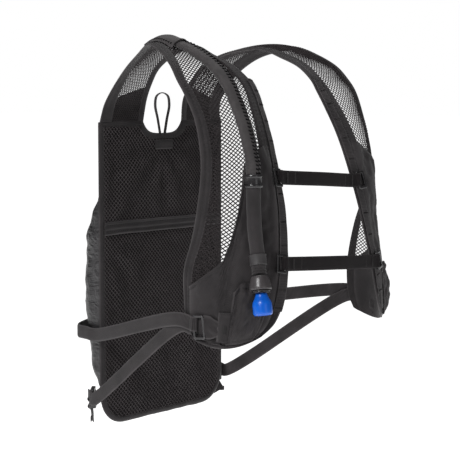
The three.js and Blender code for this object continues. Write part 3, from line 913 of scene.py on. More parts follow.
@dataclass
class ShoulderStrap:
    """Net, bands, rail webbing, front pad and pocket of one strap."""

    form: StrapForm
    net_height: float = 0.8
    net_columns: int = 30
    net_pitch: float = 2.5
    net_width: float = 96.0
    net_area: float = 0.0328  # between the bands and up to the pad, in square metres
    thread: float = 1.35
    band_under: float = -0.7
    band_top: float = 2.3
    pad_top: float = 3.2
    pad_face: float = 3.5
    pocket_bulge: float = 8.0
    wall: float = 1.2
    rail: tuple[float, float] = (9.2, 17.4)
    rail_width: float = 10.0
    pocket_stations: tuple[float, float] = (16.3, 18.75)
    pocket_across: tuple[float, float] = (0.17, 0.5)

    def build(self) -> None:
        """Builds all the cloth of the strap."""
        self._net()
        self._bands()
        self._rail()
        self._pad()
        self._pocket()
        self._tabs()
        self._yoke()

    def _net(self) -> None:
        """The open mesh between the bands, sewn under them and under the pad's edge."""
        form = self.form
        stations = span(0.0, 16.9, 338)
        middles = [form.face(s, 0.5) for s in stations]
        lengths = [0.0]
        for start, end in zip(middles, middles[1:]):
            lengths.append(lengths[-1] + (end - start).length)
        rows = int(lengths[-1] / self.net_pitch)

        def station_of(row: int) -> float:
            wanted = row * self.net_pitch
            i = max(1, next((k for k, v in enumerate(lengths) if v >= wanted), len(lengths) - 1))
            share = (wanted - lengths[i - 1]) / (lengths[i] - lengths[i - 1])
            return stations[i - 1] + min(share, 1.0) * (stations[i] - stations[i - 1])

        places = [station_of(row) for row in range(rows + 1)]

        def knot(i: int, j: int) -> Sewn | None:
            station, share = places[j], i / self.net_columns
            if station > pad_edge_station(min(share + 0.07, 1.0)) + 0.12:
                return None
            spot = form.spot(station, form.between(station, share, 3.0), self.net_height)
            return (spot.point, spot.normal)

        piece = net("strap_mesh_" + form.name, knot, self.net_columns, rows, self.thread)
        ROOM.fit(piece, NET_THREAD, "strap_net_" + form.name)
        flat = (self.net_width * MM, lengths[-1] * MM)
        log.info("%s flat size %.3f x %.3f m", piece.name, *flat)

    def _bands(self) -> None:
        """The bound edges, each with a rolled outer edge and a row of stitches."""
        form = self.form
        rolled = [0.55, 0.9, 1.12, 1.12, 0.86, 0.62, 0.72, 0.84, 0.9, 0.86, 0.76, 0.55]

        def neck(a: float, b: float, height: float) -> Vector:
            station = a * LAST_SECTION
            facing = smooth_step(5.6, 7.2, station) * (5.0 + 1.9 * max(station - 7.2, 0.0))
            facing *= smooth_step(13.4, 12.4, station)
            flat = 1.0 if b < 0.62 else 0.55
            share = b * (form.neck_share(station) + (0.9 + facing) / form.width(station))
            return form.spot(station, share, height * flat).point

        def arm(a: float, b: float, height: float) -> Vector:
            station = a * LAST_SECTION
            start = form.arm_share(station) - 0.9 / form.width(station)
            return form.spot(station, 1 - b * (1 - start), height).point

        def high(a: float, b: float) -> float:
            pucker = 0.28 * math.sin(720 * a) * ridge(b, 0.6, 0.35)
            return self.band_top * mixed(rolled, b) + pucker

        def low(a: float, b: float) -> float:
            return self.band_under * (0.6 + 0.5 * mixed(rolled, b))

        for name, place in (("neck_band_", neck), ("arm_band_", arm)):
            band = cloth(name + "cloth_" + form.name, place, low, high, 460, 11)
            ROOM.fit(band, BINDING, name + form.name)
        stations = span(0.1, 18.9, 260)
        height = self.band_top * 0.9
        neck_line = form.line(lambda s: 0.62 * form.neck_share(s), stations, height)
        arm_inner = form.line(lambda s: 1 - 0.8 * (1 - form.arm_share(s)), stations, height)
        arm_outer = form.line(lambda s: 1 - 0.45 * (1 - form.arm_share(s)), stations, height * 0.95)
        seams = stitches("band_stitches_" + form.name, [neck_line, arm_inner, arm_outer])
        ROOM.fit(seams, SEWING_THREAD)

    def _rail(self) -> None:
        """The ladder webbing on the neck band, bar-tacked at intervals, that the chest sliders ride on."""
        form = self.form
        foot = self.band_top + 0.6

        def place(a: float, b: float, height: float) -> Vector:
            station = self.rail[0] + a * (self.rail[1] - self.rail[0])
            across = 0.5 * form.neck_share(station) + (b - 0.5) * self.rail_width / form.width(station)
            return form.spot(station, across, height).point

        def lift(a: float) -> float:
            return 0.35 * abs(math.sin(9.5 * math.pi * a))

        rail = cloth(
            "rail_webbing_cloth_" + form.name,
            place,
            lambda a, b: foot + lift(a),
            lambda a, b: foot + 1.4 + lift(a),
            120,
            [0, 0.06, 0.16, 0.35, 0.5, 0.65, 0.84, 0.94, 1],
        )
        ROOM.fit(rail, WEBBING, "rail_webbing_" + form.name)
        tacks = []
        for station in span(self.rail[0] + 0.15, self.rail[1] - 0.15, 11):
            middle = 0.5 * form.neck_share(station)
            half = 0.42 * self.rail_width / form.width(station)
            spots = [form.spot(station, middle + half * k, foot + 1.6) for k in (-1, -0.5, 0, 0.5, 1)]
            tacks.append(sewn(spots))
        ROOM.fit(stitches("rail_bartacks_" + form.name, tacks, *BAR_TACK), SEWING_THREAD)

    def _pad(self) -> None:
        """The cloth pad at the front, thin foam with a seam, a piped edge and soft creases."""
        form = self.form

        def station_of(a: float, b: float) -> float:
            start = pad_edge_station(b)
            return start + a * (LAST_SECTION - start)

        def place(a: float, b: float, height: float) -> Vector:
            station = station_of(a, b)
            return form.spot(station, form.between(station, b, 1.4), height).point

        def top(a: float, b: float) -> float:
            station = station_of(a, b)
            point = form.face(station, b)
            crease = 4.4 * ripple(Vector((point.x, point.y, point.z * 0.5)), 19.0, 1.7)
            crease += 1.5 * ripple(point, 8.0, 4.2)
            crease = min(crease, 1.2)
            crease *= smooth_step(0.0, 0.12, min(b, 1 - b))
            piping = smooth_step(0.2, 0.45, b) * (1.2 * ridge(a, 0.02, 0.035) - 0.8 * ridge(a, 0.065, 0.03))
            piping -= 1.6 * smooth_step(0.4, 0.2, b) * smooth_step(0.12, 0.0, a)
            seam = 1.5 * ridge(b, 0.6, 0.03) * smooth_step(14.3, 14.8, station)
            hem = 1.3 * (ridge(station, 18.45, 0.1) + ridge(station, 18.72, 0.08))
            return self.pad_top + crease + piping - seam - hem

        columns = span(0.0, 1.0, 44)
        pad = cloth("pad_cloth_" + form.name, place, 0.0, top, 90, columns)
        ROOM.fit(pad, PAD_CLOTH, "front_pad_" + form.name)
        starts = [(b, station_of(0.055, b)) for b in span(0, 1, 60)]
        edge = sewn([form.spot(station, form.between(station, b), 3.1) for b, station in starts])
        seam = form.line(lambda s: form.between(s, 0.575), span(14.6, 18.4, 60), 3.5)
        hems = []
        for station in (18.42, 18.78):
            hems.append(sewn([form.spot(station, form.between(station, b), 3.1) for b in span(0, 1, 40)]))
        ROOM.fit(stitches("pad_stitches_" + form.name, [edge, seam, *hems]), SEWING_THREAD)

        def hem_place(a: float, b: float, height: float) -> Vector:
            station = 18.78 + 0.22 * b
            spot = form.spot(min(station, 19.0), form.between(19.0, a, 8.0), height)
            return spot.point - spot.up * max(0.0, (station - 19.0) * 12)

        bead = [0.3, 0.8, 1.0, 1.0, 0.75, 0.4]
        hem = cloth(
            "pad_hem_" + form.name,
            hem_place,
            lambda a, b: -0.5 * mixed(bead, b),
            lambda a, b: 2.6 + 1.6 * mixed(bead, b),
            80,
            8,
        )
        ROOM.fit(hem, BINDING)

    def _pocket(self) -> None:
        """The small patch pocket with an open top, its cloth slack and creased."""
        form = self.form
        stations, across = self.pocket_stations, self.pocket_across

        def place(a: float, b: float, height: float) -> Vector:
            round_off = 0.16 * (1 - a) * smooth_step(0.72, 1.0, b) ** 2
            station = stations[0] + (a + round_off) * (stations[1] - stations[0])
            return form.spot(station, across[0] + b * (across[1] - across[0]), height).point

        def inside(a: float, b: float) -> float:
            swell = math.sin(math.pi * b**1.8) * max(0.0, 0.04 + 1.76 * a - 1.8 * a**4)
            point = form.face(stations[0] + a * 2.4, b)
            crease = 0.6 * ripple(point, 17.0, 2.3) + 0.35 * ripple(point, 8.0, 6.3)
            slack = smooth_step(0.0, 0.2, min(b, 1 - b)) * smooth_step(0.0, 0.3, 1 - a)
            return self.pad_face + 0.7 + self.pocket_bulge * swell + 4.6 * slack * crease

        def outside(a: float, b: float) -> float:
            hem = 1.5 * ridge(a, 0.03, 0.06) - 0.9 * ridge(a, 0.12, 0.04) + 0.5 * ridge(a, 0.97, 0.05)
            hem += 1.4 * ridge(b, 0.96, 0.05) - 0.9 * ridge(b, 0.86, 0.05)
            return inside(a, b) + self.wall + hem

        pocket = cloth("pocket_cloth_" + form.name, place, inside, outside, 56, 40)
        ROOM.fit(pocket, PAD_CLOTH, "pad_pocket_" + form.name)

        def seam(places: Sequence[tuple[float, float]]) -> list[Sewn]:
            found = []
            for a, b in places:
                station = stations[0] + a * (stations[1] - stations[0])
                spot = form.spot(station, across[0] + b * (across[1] - across[0]), 0)
                found.append((spot.point + spot.normal * (outside(a, b) + 0.1), spot.normal))
            return found

        lines = [seam([(a, b) for a in span(0.02, 0.98, 30)]) for b in (0.05, 0.95)]
        lines += [seam([(a, b) for b in span(0.05, 0.95, 24)]) for a in (0.09, 0.92)]
        ROOM.fit(stitches("pocket_stitches_" + form.name, lines), SEWING_THREAD)

    def _yoke(self) -> None:
        """The knitted backing behind the net where the strap runs on from the panel."""
        form = self.form

        def place(a: float, b: float, height: float) -> Vector:
            station = a * (1.75 - 0.5 * b)
            return form.spot(station, form.between(station, b, 2.4), height).point

        piece = cloth("strap_yoke_" + form.name, place, 1.3, 2.1, 30, 24)
        ROOM.fit(piece, BACKING)
        edge = [form.spot(1.75 - 0.5 * b, form.between(1.75 - 0.5 * b, b), 0.2) for b in span(0, 1, 24)]
        lines = [[(s.point, -s.normal) for s in edge]]
        ROOM.fit(stitches("strap_yoke_stitches_" + form.name, lines, 3.2, 3.0, 1.1, 60), SEWING_THREAD)

    def _tabs(self) -> None:
        """The webbing tab of the D-ring and the rolled keeper beside it."""
        form = self.form

        def tab_place(a: float, b: float, height: float) -> Vector:
            pinch = 1 - 0.3 * ridge(a, 0.0, 0.7)
            return form.spot(18.05 + 0.9 * (b - 0.5) * pinch, 0.605 + 0.16 * a, height).point

        def tab_top(a: float, b: float) -> float:
            folds = 0.9 * math.sin(11 * b + 4 * a) * smooth_step(0.9, 0.3, a)
            return self.pad_face + 2.3 + 1.2 * smooth_step(0.55, 0.95, a) + folds

        tab = cloth("d_ring_tab_cloth_" + form.name, tab_place, self.pad_face, tab_top, 24, 12)
        ROOM.fit(tab, BINDING, "d_ring_tab_" + form.name)

        def keeper_place(a: float, b: float, height: float) -> Vector:
            return form.spot(17.44 + 1.14 * a, 0.44 + 0.17 * b, height).point

        def keeper_top(a: float, b: float) -> float:
            roll = math.sin(math.pi * min(max(b, 0.02), 0.98)) ** 0.75
            fold = 0.45 * math.sin(2 * math.pi * b + 3 * a)
            lip = 0.7 * (ridge(a, 0.05, 0.09) + ridge(a, 0.95, 0.09)) * roll
            lip += 0.8 * ridge(b, 0.08, 0.08) - 2.6 * ridge(b, 0.22, 0.07)
            return self.pad_face + 2.4 + (4.3 + fold) * roll + lip

        keeper = cloth("strap_keeper_cloth_" + form.name, keeper_place, self.pad_face, keeper_top, 40, 24)
        ROOM.fit(keeper, BINDING, "strap_keeper_" + form.name)
        marks = []
        for share in (0.52, 0.535):
            marks.append(sewn([form.spot(s, share, self.pad_face + 6.9) for s in span(17.85, 18.2, 4)]))
        ROOM.fit(stitches("keeper_bartacks_" + form.name, marks, 1.1, 3.0, 0.9, 80), SEWING_THREAD)


# Back panel and pouch


@dataclass
class BackPanel:
    """The panel at the back: backing, open mesh, folded binding, zip band and hang loop."""

    half_width: float = 121.0
    bottom: float = -492.0
    top: float = -96.42
    neck: float = 38.0
    dip: float = -113.0
    radius: float = 42.0
    edging: float = 7.0
    middle: float = 119.5
    zip_place: float = -234.0
    zip_height: float = 17.0
    mesh_pitch: float = 3.0
    thread: float = 1.3

    def build(self) -> None:
        """Builds all the pieces of the panel."""
        self._backing()
        self._mesh()
        self._binding()
        self._zip()
        self._loop()

    def _neck_curve(self, share: float, inset: float) -> tuple[float, float]:
        """Point of the neck's curve, from its left end (0) over the middle (0.5) to the right (1)."""
        t = 2 * share if share <= 0.5 else 2 - 2 * share
        neck, top, dip = self.neck + inset, self.top - inset, self.dip - inset
        x = -neck * ((1 - t) ** 3 + 3 * 0.8 * (1 - t) ** 2 * t + 3 * 0.5 * (1 - t) * t**2)
        z = top * (1 - t) ** 3 + dip * (1 - (1 - t) ** 3)
        return (x if share <= 0.5 else -x, z)

    def outline(self, inset: float) -> list[tuple[float, float]]:
        """Outline in X and Z, with as many points whatever the inset."""
        wide, low, top = self.half_width - inset, self.bottom + inset, self.top - inset
        radius, neck = self.radius - inset, self.neck + inset
        points = [self._neck_curve(s, inset) for s in span(0, 1, 40)]
        points += [(neck + (wide - neck) * s, top) for s in span(0.05, 1, 18)]
        points += [(wide, top + (low + radius - top) * s) for s in span(0.02, 1, 60)]
        turns = span(0.08, 1, 11)
        corner = [(math.sin(s * math.pi / 2), math.cos(s * math.pi / 2)) for s in turns]
        points += [(wide - radius + radius * c, low + radius - radius * s) for s, c in corner]
        points += [((wide - radius) * (1 - 2 * s), low) for s in span(0.03, 1, 40)]
        points += [(radius - wide - radius * s, low + radius - radius * c) for s, c in corner]
        points += [(-wide, low + radius + (top - low - radius) * s) for s in span(0.02, 1, 60)]
        points += [(-wide + (wide - neck) * s, top) for s in span(0.05, 0.95, 17)]
        return points

    def _limits(self, x: float, inset: float) -> tuple[float, float]:
        """Lowest and highest level of the panel at a place across it."""
        wide, radius = self.half_width - inset, self.radius - inset
        beyond = max(0.0, abs(x) - (wide - radius))
        low = self.bottom + inset + radius - math.sqrt(max(radius**2 - beyond**2, 0.0))
        if abs(x) >= self.neck + inset:
            return low, self.top - inset
        near, far = 0.0, 0.5
        for _ in range(24):
            share = 0.5 * (near + far)
            if self._neck_curve(share, inset)[0] < -abs(x):
                near = share
            else:
                far = share
        return low, self._neck_curve(near, inset)[1]

    def fold(self, x: float, z: float) -> float:
        """How far the soft panel stands out to the front, in mm."""
        low, high = self._limits(x, self.edging)
        inside = min(self.half_width - self.edging - abs(x), z - low, high - z)
        calm = smooth_step(0.0, 22.0, inside) * smooth_step(8.0, 26.0, abs(z - self.zip_place))
        slant = Vector((x + 0.5 * z, 0.0, 0.35 * z - 0.2 * x))
        soft = 3.0 * ripple(slant, 50.0, 5.3) + 1.3 * ripple(Vector((x, 0.0, z)), 26.0, 8.8)
        fan = 0.0
        for corner, level in ((-1, -258.0), (1, -250.0), (0, -128.0)):
            away = Vector((x - corner * 112, z - level))
            turn = math.atan2(away.y, abs(away.x) + 4)
            fan += 1.5 * math.sin(9 * turn + corner) * ridge(away.length, 58.0, 52.0)
        return calm * (soft + fan)

    def _backing(self) -> None:
        """The knitted cloth and thin foam behind the mesh."""
        wide = self.half_width - self.edging + 0.6
        inner = [self.neck * s for s in (-1.12, -0.98, -0.94, -0.9, -0.84, -0.76, -0.62, -0.4, -0.2)]
        inner = [*inner, 0.0, *[-x for x in reversed(inner)]]
        outer = [x for x in span(-wide, wide, 64) if abs(x) > self.neck * 1.2]
        shares = [(x + wide) / (2 * wide) for x in sorted({*outer, *inner})]

        def place(a: float, b: float, height: float) -> Vector:
            x = min(max((2 * b - 1) * wide, -wide - 0.4), wide + 0.4)
            low, high = self._limits(x, self.edging - 0.6)
            z = low + (high - low) * a
            return Vector((x, self.middle - height - self.fold(x, z), z))

        panel = cloth("panel_backing", place, -1.9, 1.9, 110, shares)
        ROOM.fit(panel, BACKING, "back_panel")

    def _mesh(self) -> None:
        """The open mesh on the wearer's side."""
        pitch = self.mesh_pitch
        wide = self.half_width - self.edging + 1.5
        columns, rows = int(2 * wide / pitch), int((self.top - self.bottom) / pitch)

        def knot(i: int, j: int) -> Sewn | None:
            x, z = -wide + i * pitch, self.bottom + self.edging - 1.5 + j * pitch
            low, high = self._limits(x, self.edging - 1.5)
            if not low <= z <= high:
                return None
            return (Vector((x, self.middle - 2.15 - self.fold(x, z), z)), -BACK)

        ROOM.fit(net("panel_mesh", knot, columns, rows, self.thread), PANEL_THREAD)

    def _binding(self) -> None:
        """The folded binding all round the panel, a little wavy at the bottom, with its stitches."""
        outer, inner = self.outline(0.0), self.outline(self.edging + 3.0)
        count = len(outer)

        def at(index: int, b: float) -> tuple[float, float]:
            (x0, z0), (x1, z1) = outer[index % count], inner[index % count]
            x, z = x0 + (x1 - x0) * b, z0 + (z1 - z0) * b
            sway = 0.9 * ripple(Vector((x, 0, z)), 19.0, 6.1) * smooth_step(-380.0, -450.0, z)
            return x * (1 + sway / 130), z + sway

        def place(a: float, b: float, height: float) -> Vector:
            x, z = at(round(a * count), b)
            return Vector((x, self.middle - height, z))

        bead = [0.6, 1.0, 1.16, 1.1, 0.9, 0.86, 0.94, 0.92, 0.8]
        sides = [0, 0.06, 0.16, 0.32, 0.5, 0.68, 0.86, 0.95, 1]

        def half(a: float, b: float) -> float:
            level = at(round(a * count), 0.0)[1]
            return 2.7 * mixed(bead, b) * (1 - 0.2 * smooth_step(self.top - 6, self.top - 1, level))

        piece = cloth("panel_binding_cloth", place, lambda a, b: -half(a, b), half, count, sides, closed=True)
        ROOM.fit(piece, BINDING, "panel_binding")
        lines = []
        for front in (1, -1):
            seam = [at(k, 0.52) for k in range(count + 1)]
            lines.append([(Vector((x, self.middle - front * 2.45, z)), BACK * -front) for x, z in seam])
        ROOM.fit(stitches("panel_binding_stitches", lines, 3.6, 2.4, 0.75), SEWING_THREAD)

    def _zip(self) -> None:
        """The band over the zip: two piped edges and the covered row of teeth between them."""
        wide = self.half_width - self.edging - 0.3

        def place(a: float, b: float, height: float) -> Vector:
            x = (2 * a - 1) * wide
            sway = 0.8 * ripple(Vector((x, 0, 0)), 50.0, 9.7)
            z = self.zip_place + (b - 0.5) * self.zip_height + sway
            return Vector((x, self.middle - 2.2 - height, z))

        profile = [0.9, 2.3, 2.5, 1.7, 1.5, 1.5, 1.7, 2.6, 2.7, 1.7, 1.5, 1.5, 1.7, 2.5, 2.3, 0.9]
        band = cloth("zip_band_cloth", place, 0.0, lambda a, b: mixed(profile, b), 90, 30)
        ROOM.fit(band, PAD_CLOTH, "zip_band")
        lines = []
        for level, height in ((0.25, 4.0), (0.75, 4.0), (-0.12, 2.9)):
            spots = [place(a, level, height - 2.2) for a in span(0.01, 0.99, 60)]
            lines.append([(p, -BACK) for p in spots])
        ROOM.fit(stitches("zip_band_stitches", lines, 3.4, 2.3, 0.7), SEWING_THREAD)

    def _loop(self) -> None:
        """The hang loop of narrow tape, and the patch that it is sewn under."""
        low, half, height = self.dip + 0.3, 10.0, 54.0
        shape = [(-0.35, -0.1), (-0.75, 0.35), (-1, 0.7), (-0.7, 0.93)]
        shape = [*shape, (0, 1), *[(-x, z) for x, z in reversed(shape)]]
        path = [Vector((x * half, self.middle - 5 * x * z, low + z * height)) for x, z in shape]
        loop = webbing("hang_loop_tape", path, 4.0, 1.5, 110, BACK, 0.2)
        ROOM.fit(loop, BINDING, "hang_loop")
        level = self.dip - self.edging - 0.3 - 7.0

        def place(a: float, b: float, height: float) -> Vector:
            return Vector(((2 * a - 1) * 17.0, self.middle - 2.3 - height, level + (b - 0.5) * 12.0))

        def swell(a: float, b: float) -> float:
            return 1.4 + 0.5 * math.sin(math.pi * a) * math.sin(math.pi * b)

        patch = cloth("hang_loop_patch_cloth", place, 0.0, swell, 24, 12)
        ROOM.fit(patch, BINDING, "hang_loop_patch")
        corners = [(0.06, 0.14), (0.94, 0.14), (0.94, 0.86), (0.06, 0.86), (0.06, 0.14)]
        box = [(place(a, b, 1.7), -BACK) for a, b in corners]
        ROOM.fit(stitches("hang_loop_stitches", [box], 2.4, 1.6, 0.6), SEWING_THREAD)


POUCH_SECTIONS = (
    (0, 0.94, 0.28),
    (0.1, 0.98, 0.66),
    (0.2, 1, 0.92),
    (0.3, 1, 1),
    (0.55, 1, 0.98),
    (0.68, 1, 0.84),
    (0.8, 1, 0.62),
    (0.91, 0.96, 0.3),
    (1, 0.8, 1.5 / 48),
)


@dataclass
class Pouch:
    """The ripstop pouch on the outside of the panel, slack and creased."""

    half_width: float = 118.0
    top: float = -188.0
    bottom: float = -474.0
    depth: float = 48.0
    wall: float = 1.5
    foot: float = 122.5
    strap_level: float = 0.605

    def section(self, place: float) -> tuple[float, float]:
        """Half width and depth at a share down from the mouth."""
        for (low, w0, d0), (high, w1, d1) in zip(POUCH_SECTIONS, POUCH_SECTIONS[1:]):
            if place <= high:
                share = (place - low) / (high - low)
                share = 0.4 * smooth_step(0, 1, share) + 0.6 * share
                return (w0 + share * (w1 - w0)) * self.half_width, (d0 + share * (d1 - d0)) * self.depth
        return POUCH_SECTIONS[-1][1] * self.half_width, self.wall

    def face(self, a: float, b: float, height: float) -> Vector:
        """Point of the pouch: share down, share from its right to its left side, and height."""
        width, depth = self.section(min(max(a, 0.0), 1.0))
        turn = math.pi * (min(max(b, 0.0), 1.0) - 0.5)
        sine, cosine = math.sin(turn), max(0.0, math.cos(turn))
        x = math.copysign(abs(sine) ** (1 / 3), sine) * (width - self.wall)
        y = cosine ** (2 / 3) * (depth - self.wall)
        point = Vector((x, self.foot + y, self.top + a * (self.bottom - self.top)))
        out = Vector((x * 0.25 * abs(sine), y + 4, 0)).normalized()
        crease = 2.5 * ripple(Vector((x * 0.5, y, point.z * 0.6)), 30.0, 2.9)
        crease += 1.3 * ripple(Vector((x + point.z, y, point.z - 0.4 * x)), 12.0, 7.7)
        crease += 0.5 * math.sin(point.z / 7 + 5 * ripple(point, 46.0, 1.1)) * abs(sine)
        calm = 0.35 + 0.65 * smooth_step(0.02, 0.09, abs(a - self.strap_level))
        calm *= smooth_step(0.0, 0.35, cosine)
        calm *= smooth_step(0.0, 0.06, a) * smooth_step(0.0, 0.1, 1 - a)
        return point + out * (height + calm * crease)

    def build(self) -> None:
        """Builds the shell and its elastic hem."""
        columns = [0.5 - 0.5 * math.cos(math.pi * s) for s in span(0, 1, 84)]
        shares = [0.5 * (s + c) for s, c in zip(span(0, 1, 84), columns)]
        shell = cloth("pouch_shell", self.face, 0.0, self.wall, 110, shares)
        ROOM.fit(shell, RIPSTOP, "pouch")

        def hem_place(a: float, b: float, height: float) -> Vector:
            gather = 0.5 * math.sin(90 * a)
            return self.face(0.03 * b, a, height + gather)

        hem = cloth("pouch_hem", hem_place, -0.9, 2.6, 120, 6)
        ROOM.fit(hem, BINDING)


# Buckles, rings and straps


def in_frame(spot: Spot) -> Matrix:
    """Matrix, in metres, from a fitting's own axes to its place: Z along the normal, Y upward."""
    wide = spot.up.cross(spot.normal).normalized()
    up = spot.normal.cross(wide)
    turn = Matrix((wide, up, spot.normal)).transposed().to_4x4()
    return Matrix.Translation(spot.point * MM) @ turn


def select_where(test: Callable[[bmesh.types.BMFace], bool]) -> None:
    """Selects the faces of the mesh in edit mode that pass a test, and nothing else."""
    shape = bmesh.from_edit_mesh(bpy.context.edit_object.data)
    for part in (*shape.verts, *shape.edges, *shape.faces):
        part.select = False
    for face in shape.faces:
        if test(face):
            face.select_set(True)
    shape.select_flush_mode()
    bmesh.update_edit_mesh(bpy.context.edit_object.data)


def select_edges(test: Callable[[bmesh.types.BMEdge], bool]) -> None:
    """Selects the edges of the mesh in edit mode that pass a test, and nothing else."""
    bpy.ops.mesh.select_mode(type="EDGE")
    shape = bmesh.from_edit_mesh(bpy.context.edit_object.data)
    for part in (*shape.verts, *shape.edges, *shape.faces):
        part.select = False
    for edge in shape.edges:
        if test(edge):
            edge.select_set(True)
    bmesh.update_edit_mesh(bpy.context.edit_object.data)


def finish_moulding(piece: bpy.types.Object, name: str, bevel: float, matrix: Matrix) -> bpy.types.Object:
    """Rounds a moulding's edges, names it and puts it in its place.

    Args:
        piece: The object, just out of edit mode.
        name: Its name.
        bevel: Rounding of its edges, in mm.
        matrix: Where it goes, in metres.

    Returns:
        The piece, with its object at the origin.
    """
    piece.name = name
    piece.data.name = name
    rounding = piece.modifiers.new("rounding", "BEVEL")
    rounding.width = bevel * MM
    rounding.segments = 3
    rounding.limit_method = "ANGLE"
    rounding.angle_limit = math.radians(32)
    bpy.ops.object.modifier_apply(modifier="rounding")
    bpy.ops.object.shade_smooth_by_angle(angle=math.radians(40))
    piece.data.transform(matrix)
    piece.select_set(False)
    return piece


@dataclass(frozen=True)
class SlottedFrame:
    """A flat moulded frame with slots one above the other. Sizes in millimetres."""

    width: float
    length: float
    thickness: float
    bar: float
    corner: float
    slots: int = 1
    wedge: float = 1.0
    bevel: float = 0.9

    def build(self, name: str, spot: Spot) -> bpy.types.Object:
        """Models the frame from a block: cuts, bridged slots, rounded corners.

        Args:
            name: The piece's name.
            spot: Its place and directions.

        Returns:
            The frame.
        """
        bpy.ops.object.select_all(action="DESELECT")
        bpy.ops.mesh.primitive_cube_add(size=1)
        piece = bpy.context.active_object
        piece.scale = (self.width * MM, self.length * MM, self.thickness * MM)
        bpy.ops.object.transform_apply(location=False, rotation=False, scale=True)
        bpy.ops.object.mode_set(mode="EDIT")
        half_slot = self.width / 2 - self.bar
        pitch = (self.length - self.bar) / self.slots
        lows = [-self.length / 2 + self.bar + k * pitch for k in range(self.slots)]
        cuts = [((side * half_slot, 0), (1, 0, 0)) for side in (-1, 1)]
        for low in lows:
            cuts += [((0, low), (0, 1, 0)), ((0, low + pitch - self.bar), (0, 1, 0))]
        for (x, y), direction in cuts:
            bpy.ops.mesh.select_all(action="SELECT")
            bpy.ops.mesh.bisect(plane_co=(x * MM, y * MM, 0), plane_no=direction)
        bpy.ops.mesh.select_mode(type="FACE")
        for low in lows:
            middle = (low + (pitch - self.bar) / 2) * MM
            reach = 0.3 * pitch * MM

            def in_slot(face: bmesh.types.BMFace) -> bool:
                centre = face.calc_center_median()
                inside = abs(centre.x) < half_slot * 0.5 * MM and abs(centre.y - middle) < reach
                return abs(face.normal.z) > 0.9 and inside

            select_where(in_slot)
            bpy.ops.mesh.bridge_edge_loops()
        outer_x, outer_y = self.width * 0.499 * MM, self.length * 0.499 * MM

        def is_corner(edge: bmesh.types.BMEdge) -> bool:
            a, b = (v.co for v in edge.verts)
            upright = abs(a.z - b.z) > 0.5 * self.thickness * MM
            return upright and abs(a.x) > outer_x and abs(a.y) > outer_y

        select_edges(is_corner)
        bpy.ops.mesh.bevel(offset=self.corner * MM, segments=5, affect="EDGES")
        if self.wedge != 1.0:
            bpy.ops.mesh.select_mode(type="FACE")
            select_where(lambda face: face.calc_center_median().y > 0.3 * self.length * MM)
            bpy.ops.transform.resize(value=(1.0, 1.0, self.wedge))
        bpy.ops.mesh.select_all(action="SELECT")
        bpy.ops.mesh.normals_make_consistent(inside=False)
        bpy.ops.object.mode_set(mode="OBJECT")
        return finish_moulding(piece, name, self.bevel, in_frame(spot))


SLIDER = SlottedFrame(15, 23, 3.2, 3.2, 2.0)
D_RING = SlottedFrame(17, 29, 3.0, 3.0, 5.0)
LADDER_LOCK = SlottedFrame(22, 26, 9, 4, 2.0, 2, 0.62, 1.1)


